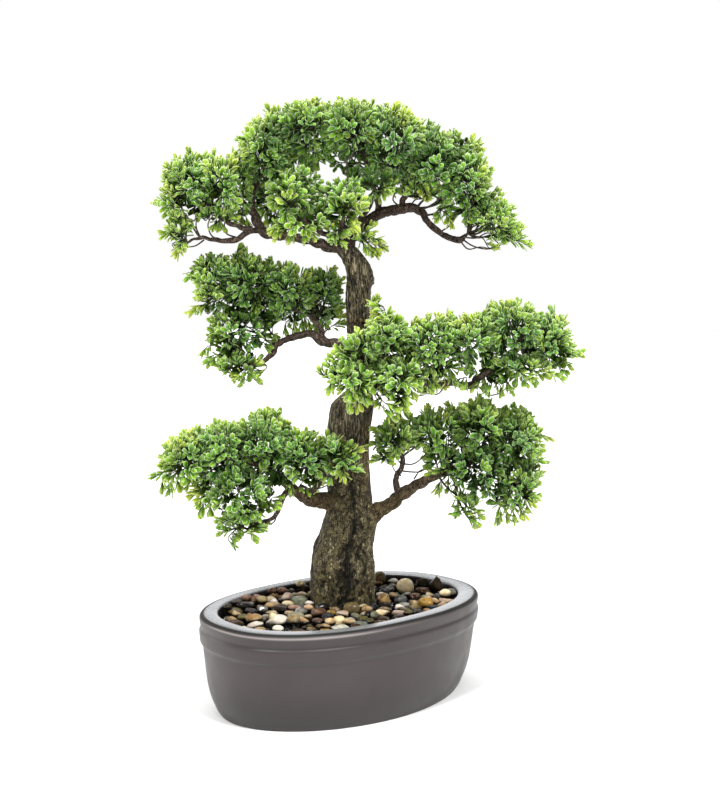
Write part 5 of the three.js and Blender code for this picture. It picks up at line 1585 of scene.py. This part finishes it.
    # the gap in the crown is edged by sprigs that lean away from it
    js = [j for j in range(len(E)) if mass[j] == "crown"]
    R = np.maximum(E[js, 3:] - REACH, 3.0)
    for a in np.arange(0.0, 2 * math.pi, math.radians(19.0)):
        for ring in (17.5, 25.0):
            at = np.array([HOLE[0] + ring * math.cos(a), HOLE[1] + ring * 0.90 * math.sin(a)]) + rng.uniform(-1.2, 1.2, size=2)
            if outline_distance(OUTLINE["crown"], at)[0] > -6.0:
                continue
            mine = [t for t in tips if mass_of(t[2]) == "crown" and t[1][1] < 0.45]
            if np.linalg.norm(project(np.array([t[0] for t in mine])) - at, axis=1).min() < 6.0:
                continue
            ys = np.arange(-60.0, 50.0, 1.5)
            line = np.array([ray_at_y(at[0], at[1], y) for y in ys])
            q = np.linalg.norm((line[:, None, :] - E[js, :3][None]) / R[None], axis=-1)
            k = int(np.argmin(q.min(1)))
            if q.min(1)[k] > 2.4:
                continue
            ax = unit(np.array([math.cos(a), -0.45, -math.sin(a) + 0.35]) + rng.normal(size=3) * 0.25)
            tips.append((line[k] + np.array([0.0, rng.uniform(-3.0, 3.0), 0.0]), ax, owner[js[int(np.argmin(q[k]))]], 0))
    # and where white would still show between them, a sprig painted in shade stands further in
    for key, poly in OUTLINE.items():
        js = [j for j in range(len(E)) if mass[j] == key]
        R = np.maximum(E[js, 3:] - REACH, 3.0)
        u0, v0 = poly.min(0)
        u1, v1 = poly.max(0)
        spots = np.array([(u, v) for u in np.arange(u0 + 5, u1, 4.0) for v in np.arange(v0 + 5, v1, 4.0)])
        spots = spots[outline_distance(poly, spots) < -9.0]
        spots = spots[rng.permutation(len(spots))]
        mine = [t for t in tips if mass_of(t[2]) == key]
        seen = np.vstack([project(np.array([t[0] + t[1] * s for t in mine])) for s in (0.0, 4.0)])
        for at in spots:
            if key == "crown" and math.hypot((at[0] - HOLE[0]) / 14.0, (at[1] - HOLE[1]) / 12.5) < 1:
                continue
            if np.linalg.norm(seen - at, axis=1).min() < FILL:
                continue
            ys = np.arange(-75.0, 75.0, 1.5)
            line = np.array([ray_at_y(at[0], at[1], y) for y in ys])
            q = np.linalg.norm((line[:, None, :] - E[js, :3][None]) / R[None], axis=-1)
            qm = q.min(1)
            k = int(np.argmin(qm))
            if qm[k] > (2.0 if key == "crown" and math.hypot(at[0] - HOLE[0], at[1] - HOLE[1]) < 50.0 else 1.45):
                continue
            j = js[int(np.argmin(q[k]))]
            p = line[k] + np.array([0.0, rng.uniform(-2.0, 6.0), 0.0])
            ax = unit(np.array([0.0, -0.75, 0.35]) + rng.normal(size=3) * 0.4)
            if outline_distance(poly, project(p + ax * 8.0))[0] > -3.5:
                ax = np.array([0.0, -0.95, 0.312])
            tips.append((p, ax, owner[j], 0 if key == "crown" and math.hypot(at[0] - HOLE[0], at[1] - HOLE[1]) < 34.0 else 1))
            seen = np.vstack([seen, project(p), project(p + ax * 4.0)])
    # sprigs at the ends of the stems that show
    for node, wires in WIRES.items():
        for away, path in wires:
            p0, p1 = (ray_at_y(path[m][0], path[m][1], away) for m in (-2, -1))
            tips.append((p1, unit(unit(p1 - p0) + np.array([0.0, -0.3, 0.35]) + rng.normal(size=3) * 0.2), node, 0))
    for node, away, u, v, du, dv in SINGLE:
        tips.append((ray_at_y(u, v, away), unit(np.array([du, -0.35, -dv]) + rng.normal(size=3) * 0.15), node, 0))
    return tips


# lone sprigs: node, distance away, place and lean in the picture's frame
SINGLE = [("leaves_crown_low_spray", 4, 365, 235, 1.0, -0.3), ("leaves_crown_low_spray", 2, 369, 230, 0.7, -0.9), ("leaves_crown_low_spray", 0, 377, 240, 1.0, 0.2),
          ("leaves_crown_low_spray", 5, 380, 246, 0.8, 0.5), ("leaves_crown_low_spray", 3, 373, 252, 0.5, 0.9), ("leaves_crown_low_spray", 1, 366, 247, 0.3, 1.0),
          ("leaves_crown_low_spray", 6, 357, 233, -0.1, -1.0), ("leaves_mid_front_top", -8, 377, 302, 0.1, -1.0), ("leaves_mid_front_top", -6, 372, 308, 0.4, -0.9),
          ("leaves_crown_top_left", 0, 316, 105, 0.0, -1.0), ("leaves_crown_top_middle", 2, 342, 107, -0.1, -1.0), ("leaves_crown_top_middle", 4, 356, 109, 0.5, -0.9),
          ("leaves_crown_top_right", 2, 371, 108, 0.0, -1.0), ("leaves_crown_top_right", 4, 403, 115, 0.3, -1.0), ("leaves_crown_shoulder", 4, 457, 140, 0.2, -1.0),
          ("leaves_crown_shoulder", 2, 474, 147, 0.6, -0.8), ("leaves_crown_right_outer", 2, 485, 175, 0.9, -0.5), ("leaves_crown_right_outer", 4, 494, 193, 0.8, -0.6),
          ("leaves_crown_right_outer", 0, 507, 211, 0.8, -0.5), ("leaves_crown_right_outer", 2, 521, 242, 1.0, 0.3), ("leaves_crown_top_left", 4, 246, 139, -1.0, -0.2),
          ("leaves_crown_left_outer", 2, 192, 155, -0.3, -1.0), ("leaves_crown_left_outer", 4, 181, 164, -0.7, -0.7), ("leaves_crown_left_inner", 0, 213, 159, 0.1, -1.0),
          ("leaves_crown_left_outer", 0, 162, 204, -1.0, -0.1), ("leaves_crown_left_outer", 2, 169, 232, -0.9, 0.4), ("leaves_crown_left_outer", 0, 178, 250, -0.4, 0.9)]
COVER = 7.5
FILL = 4.5
GAP_OUT, GAP_IN = 7.3, 11.0
FRONTAL = ("leaves_mid_front_top", "leaves_mid_front_low", "leaves_crown_front_left", "leaves_crown_front_right", "leaves_low_left_front", "leaves_low_left_middle")


# wiry stems that show below the clumps, in the picture's frame, with their distance away
WIRES = {
    "leaves_crown_right_outer": [(8, [(461, 238), (473, 246), (489, 249), (503, 244)]), (2, [(463, 237), (476, 238), (487, 233), (498, 235)]),
                                 (-3, [(459, 239), (468, 249), (480, 247), (492, 249)]), (5, [(440, 232), (449, 226), (454, 216), (463, 210)]),
                                 (0, [(466, 235), (474, 226), (488, 222), (494, 212)])],
    "leaves_crown_left_outer": [(-4, [(210, 240), (200, 236), (196, 224), (200, 212)]), (-2, [(204, 240), (195, 246), (184, 247)]),
                                (-8, [(224, 241), (212, 236), (208, 224), (214, 214)]), (2, [(238, 238), (226, 233), (225, 222), (233, 213)])],
    "leaves_crown_left_inner": [(-6, [(250, 229), (241, 220), (243, 207), (237, 196)])],
    "leaves_crown_top_right": [(6, [(398, 209), (405, 199), (402, 190), (411, 182)]), (0, [(402, 208), (393, 200), (396, 189), (389, 179)]),
                               (10, [(410, 208), (415, 200), (427, 198), (433, 190)])],
    "leaves_mid_right_low": [(14, [(446, 384), (438, 394), (428, 394)]), (10, [(479, 387), (489, 395), (502, 392), (509, 383)])],
    "leaves_mid_right_outer": [(12, [(528, 362), (541, 366), (553, 361), (561, 350)])],
    "leaves_mid_left_tip": [(0, [(259, 362), (267, 366), (262, 373)]), (4, [(246, 366), (236, 363), (228, 368)])],
    "leaves_low_left_inner": [(-14, [(300, 486), (313, 489), (326, 486), (335, 478)])],
    "leaves_low_left_tip": [(-8, [(277, 512), (274, 522), (265, 526)])],
    "leaves_low_right_tip": [(10, [(473, 496), (471, 510), (474, 520)]), (12, [(468, 494), (460, 500), (458, 508)])],
    "leaves_low_right_inner": [(2, [(403, 466), (397, 459), (391, 452), (386, 442)]), (5, [(404, 464), (413, 464), (423, 457), (430, 448)]),
                               (7, [(403, 471), (412, 472), (422, 471), (429, 463), (427, 454)]), (6, [(401, 476), (395, 471), (391, 463)]),
                               (10, [(414, 479), (421, 470), (433, 471)])],
}


def make_foliage():
    rng = np.random.default_rng(77031)
    tips = sprig_tips(rng)
    curves = {}
    for name, tubes in BRANCHES.items():
        for ctrl in tubes:
            c = curve_points(np.array(ctrl, float), 2.0)
            tan = unit(np.gradient(c[:, :3], axis=0))
            keep = np.linalg.norm(c[:, :3] - c[0, :3], axis=1) > (9.0 if name.startswith("branch_low") else 4.0)
            curves.setdefault(name, []).append(np.hstack([c[keep], tan[keep]]))
    carried = {k: np.vstack([np.vstack(curves[b]) for b in v]) for k, v in CARRIED.items()}
    by_node = {}
    for t in tips:
        by_node.setdefault(t[2], []).append(t)
    total_leaves = total_tris = 0
    for node in LEAVES:
        mine = by_node.get(node, [])
        mass = mass_of(node)
        lean, lit_clump = LOOK[node]
        b = Builder()
        P = np.array([t[0] for t in mine])
        A = np.array([t[1] for t in mine])
        inner = np.array([t[3] for t in mine])
        # ---- wiry stems: clusters of sprigs share a stem from the branch
        left = list(rng.permutation(len(P)))
        wood = carried[mass]
        starts = []
        while left:
            k = left.pop(0)
            group = [k]
            if left:
                d = np.linalg.norm(P[left] - P[k], axis=1)
                for j in np.argsort(d)[:5]:
                    if d[j] < 25.0:
                        group.append(left[j])
                left = [x for x in left if x not in group]
            cen = P[group].mean(0)
            dirn = unit(A[group].mean(0) + 1e-6)
            dist = np.linalg.norm(wood[:, :3] - cen, axis=1)
            lead = ((cen - wood[:, :3]) * wood[:, 4:7]).sum(1)
            j = int(np.argmin(dist - 0.25 * lead))
            p0, tan0, r0 = wood[j, :3], wood[j, 4:7], wood[j, 3]
            span = np.linalg.norm(cen - p0)
            hub = cen + unit(p0 - cen) * min(15.0, 0.55 * span) - dirn * 2.0
            run = np.linalg.norm(hub - p0)
            if run > 3.0:
                # low sprigs hang from stems that sag before they climb
                sag = float(smooth(10.0, -4.0, hub[2] - p0[2])) * rng.uniform(0.4, 1.1)
                start = unit(0.6 * tan0 + 0.7 * unit(hub - p0) + rng.normal(size=3) * 0.30 - np.array([0, 0, rng.uniform(0.0, 0.55) + sag]))
                end = unit(0.7 * dirn + 0.6 * unit(hub - p0) + rng.normal(size=3) * 0.15 + np.array([0, 0, 0.5 * sag]))
                pts = hermite(p0, hub, start * run * (1.05 + 0.25 * sag), end * run * 0.9, max(5, int(run / 3.2)))
                rad = np.linspace(min(0.95, r0), 0.50, len(pts))
                co, q, t, _ = tube(pts, rad, 6)
                b.add(co, quads=q, tris=t, mat=1, green=np.full(len(co), 0.25))
            else:
                end = dirn
            starts.append((group, hub, end))
        for away, path in WIRES.get(node, ()):
            at = np.array([ray_at_y(u, v, away + 1.5 * math.sin(2.1 * i)) for i, (u, v) in enumerate(path)])
            cw = curve_points(np.hstack([at, np.linspace(0.62, 0.36, len(at))[:, None]]), 2.2)
            co, q, t, _ = tube(cw[:, :3], cw[:, 3], 6)
            b.add(co, quads=q, tris=t, mat=1, green=np.full(len(co), 0.2))
        sets = [dict(base=[], axis=[], radial=[], tilt=[], bend=[], length=[], width=[], cup=[], roll=[], tint=[]) for _ in range(3)]
        for group, hub, end in starts:
            for k in group:
                tip, ax = P[k], A[k]
                run = np.linalg.norm(tip - hub)
                sides = 3 if inner[k] else 4
                pts = hermite(hub, tip, unit(end + 0.5 * unit(tip - hub)) * run * 0.9, ax * run * 1.0, max(5, int(run / (4.0 if inner[k] else 3.0))))
                rad = np.linspace(0.48, 0.32, len(pts))
                co, q, t, _ = tube(pts, rad, sides, ends=(0.3, 1.2))
                b.add(co, quads=q, tris=t, mat=1, green=np.linspace(0.35, 1.0, len(pts)).repeat(sides).tolist() + [0.35, 1.0])
                # the sprig's own frame
                seg = np.linalg.norm(np.diff(pts, axis=0), axis=1)
                back = np.concatenate([[0], np.cumsum(seg[::-1])])[::-1]
                ref = np.array([0.0, 0.0, 1.0]) if abs(ax[2]) < 0.9 else np.array([1.0, 0.0, 0.0])
                e1 = unit(np.cross(ref, ax))
                e2 = np.cross(ax, e1)
                spin = rng.uniform(0, math.pi)
                size = rng.uniform(0.86, 1.14)
                young_sprig = rng.uniform()
                rnd = np.clip(0.42 + 0.34 * lean + rng.normal() * 0.20, 0, 1)
                edge = outline_distance(OUTLINE[mass], project(tip))[0]
                near_edge = float(smooth(-22.0, -5.0, edge))
                deep = 1.0 if inner[k] else 0.0
                fan = near_edge * rng.uniform(0.5, 1.0)          # sprigs at the outline stand up in narrow fans
                whorls = [(0.0, 2, 0.20, 0.62, 0.0, 1), (0.3, 2, 0.46, 0.92, math.pi / 2, 0), (0.7, 2, 0.66, 1.04, 0.40, 0),
                          (1.9, 2, 0.86, 1.08, math.pi / 2 + 0.30, 0), (3.8, 2, 1.02, 1.02, 0.9, 0), (6.4, 2, 1.12, 0.94, math.pi / 2 + 0.7, 0)]
                if deep:
                    whorls = whorls[1:4]
                elif fan > 0.40:                                 # seen from the side: pairs up a short stem
                    whorls = [(0.0, 2, 0.18, 0.80, 0.0, 1), (0.5, 2, 0.42, 1.0, math.pi / 2, 0), (2.0, 2, 0.62, 1.04, 0.3, 0),
                              (4.0, 2, 0.74, 1.00, math.pi / 2 + 0.4, 0), (6.4, 2, 0.82, 0.92, 0.2, 0), (8.8, 2, 0.86, 0.84, math.pi / 2, 0)]
                    if rng.uniform() < 0.3:
                        whorls = whorls[:5]
                elif rng.uniform() < 0.15:
                    whorls = whorls[:5]
                leaves = sets[2 if deep else (1 if ax[1] > 0.35 else 0)]
                for s, count, tilt, rel, ph, bud in whorls:
                    if s > back[0] - 1.0 and s > 1.0:
                        continue
                    at = np.array([np.interp(s, back[::-1], pts[::-1, m]) for m in range(3)])
                    for m in range(count):
                        an = spin + ph + m * 2 * math.pi / count + rng.normal() * 0.16
                        rad_dir = math.cos(an) * e1 + math.sin(an) * e2
                        L = (min(10.2, max(4.5, -0.58 * edge)) if deep else 7.7 + 1.1 * fan) * rel * size * rng.uniform(0.86, 1.14)
                        leaves["base"].append(at + rad_dir * 0.2)
                        leaves["axis"].append(ax)
                        leaves["radial"].append(rad_dir)
                        leaves["tilt"].append(tilt * (1.0 - 0.30 * fan) + rng.normal() * 0.11 - 0.10)
                        leaves["bend"].append(rng.uniform(-0.25, 0.40))
                        leaves["length"].append(L)
                        leaves["width"].append(L * (rng.uniform(0.48, 0.60) if deep else (rng.uniform(0.44, 0.55) if node in FRONTAL else rng.uniform(0.38, 0.49))) * (0.76 if bud else 1.0) * (1.0 - 0.26 * fan))
                        leaves["cup"].append(rng.uniform(0.15, 0.55))
                        leaves["roll"].append(rng.normal() * 0.22)
                        # young leaves on buds and some sprigs, plus painted light wrap near the outline and painted
                        # light on lit clumps
                        young_and_lit = (0.25 if bud else 0.0) + 0.55 * near_edge * (0.3 + young_sprig) + 0.26 * max(lit_clump, 0) + (0.30 if young_sprig > 0.88 else 0)
                        # painted shade: some sprigs, the mid-left and low-right pads and the inner sprigs are painted
                        # darker, less so near the outline and on lit clumps
                        dim = 0.52 if young_sprig < 0.25 else 0.0        # some sprigs stay dark
                        dim += 0.15 if node.startswith(("leaves_mid_left", "leaves_low_right")) else 0.0
                        shade = 0.80 * deep + (1 - near_edge) * (0.26 * rng.uniform() + dim) - 0.40 * max(lit_clump, 0) * (1 - deep)
                        leaves["tint"].append((np.clip(rnd + rng.normal() * 0.10, 0, 1), np.clip(young_and_lit * rng.uniform(0.6, 1.1), 0, 1), np.clip(shade, 0, 1)))
        n_here = 0
        for kind, leaves in zip((FINE, EVEN, PLAIN), sets):
            if not leaves["base"]:
                continue
            arr = {k: np.array(v) for k, v in leaves.items()}
            tint = arr.pop("tint")
            co = leaf_meshes(kind, **arr)
            fq, ft, fuv = leaf_faces(kind[0])
            n, m = co.shape[:2]
            off = (np.arange(n) * m)[:, None, None]
            b.add(co.reshape(-1, 3), quads=(fq[None] + off).reshape(-1, 4), tris=(ft[None] + off).reshape(-1, 3), mat=0,
                  uv=np.tile(fuv, (n, 1)), tint=np.repeat(tint, m, 0))
            n_here += n
        ob = b.make(node + "_sprays", [M_LEAF, M_TWIG], uv_name="leaf")
        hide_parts(node)
        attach(ob, "root")
        tris = sum(len(p.vertices) - 2 for p in ob.data.polygons)
        total_leaves += n_here
        total_tris += tris
    print("foliage: sprigs", len(tips), "leaves", total_leaves, "triangles", total_tris)



# ------------------------------------------------------------------ build
make_pot()
fill = bpy.data.objects.get("filler_block")
if fill is not None:
    fill.data.materials.clear()
    fill.data.materials.append(M_FILL)
make_trunk()
for key in BRANCHES:
    make_branch(key, BRANCHES[key])
make_pebbles()
make_foliage()

# ------------------------------------------------------------------ floor, light
floor_mesh = bpy.data.meshes.new("floor")
S = 6.0
floor_mesh.from_pydata([(-S, -S, 0), (S, -S, 0), (S, S, 0), (-S, S, 0)], [], [(0, 1, 2, 3)])
floor = bpy.data.objects.new("floor", floor_mesh)
scene.collection.objects.link(floor)
fp = Paint("floor_white")
fn = fp.noise(fp.coords(), 3.0, 2.0)
floor_mesh.materials.append(fp.set(Base_Color=fp.ramp(fn, [(0.3, (0.93, 0.93, 0.93, 1)), (0.7, (0.95, 0.95, 0.95, 1))]), Roughness=0.55, Specular_IOR_Level=0.2))

world = bpy.data.worlds.new("studio")
scene.world = world
world.use_nodes = True
wt = world.node_tree
bg = wt.nodes["Background"]
wc = wt.nodes.new("ShaderNodeTexCoord")
ws = wt.nodes.new("ShaderNodeSeparateXYZ")
wr = wt.nodes.new("ShaderNodeMapRange")
wr.interpolation_type = "SMOOTHSTEP"
for i, x in zip((1, 2, 3, 4), (0.23, 0.42, 1.0, 0.12)):
    wr.inputs[i].default_value = x
wt.links.new(wc.outputs["Generated"], ws.inputs[0])
wt.links.new(ws.outputs[2], wr.inputs[0])
wt.links.new(wr.outputs[0], bg.inputs[1])
bg.inputs[0].default_value = (1.0, 1.0, 1.0, 1.0)


def sun(name, toward, angle, power, colour=(1, 1, 1)):
    d = bpy.data.lights.new(name, "SUN")
    d.angle = math.radians(angle)
    d.energy = power
    d.color = colour
    o = bpy.data.objects.new(name, d)
    p = Vector(turn(np.array(toward, float) * 1000.0))
    o.location = p
    o.rotation_euler = (-p).to_track_quat("-Z", "Y").to_euler()
    scene.collection.objects.link(o)
    return o


sun("left", (-0.55, -0.72, 1.12), 11.0, 2.22)
sun("right", (0.62, -0.68, 1.12), 11.0, 2.42)
sun("back", (-0.12, 0.66, 1.10), 40.0, 0.95)
sun("top", (0.05, -0.08, 1.0), 50.0, 0.95)
sun("side", (-1.0, 0.32, 0.26), 30.0, 0.60, (1.0, 0.96, 0.90))
scene.view_settings.view_transform = "Standard"
scene.view_settings.look = "None"
scene.view_settings.exposure = 0.0
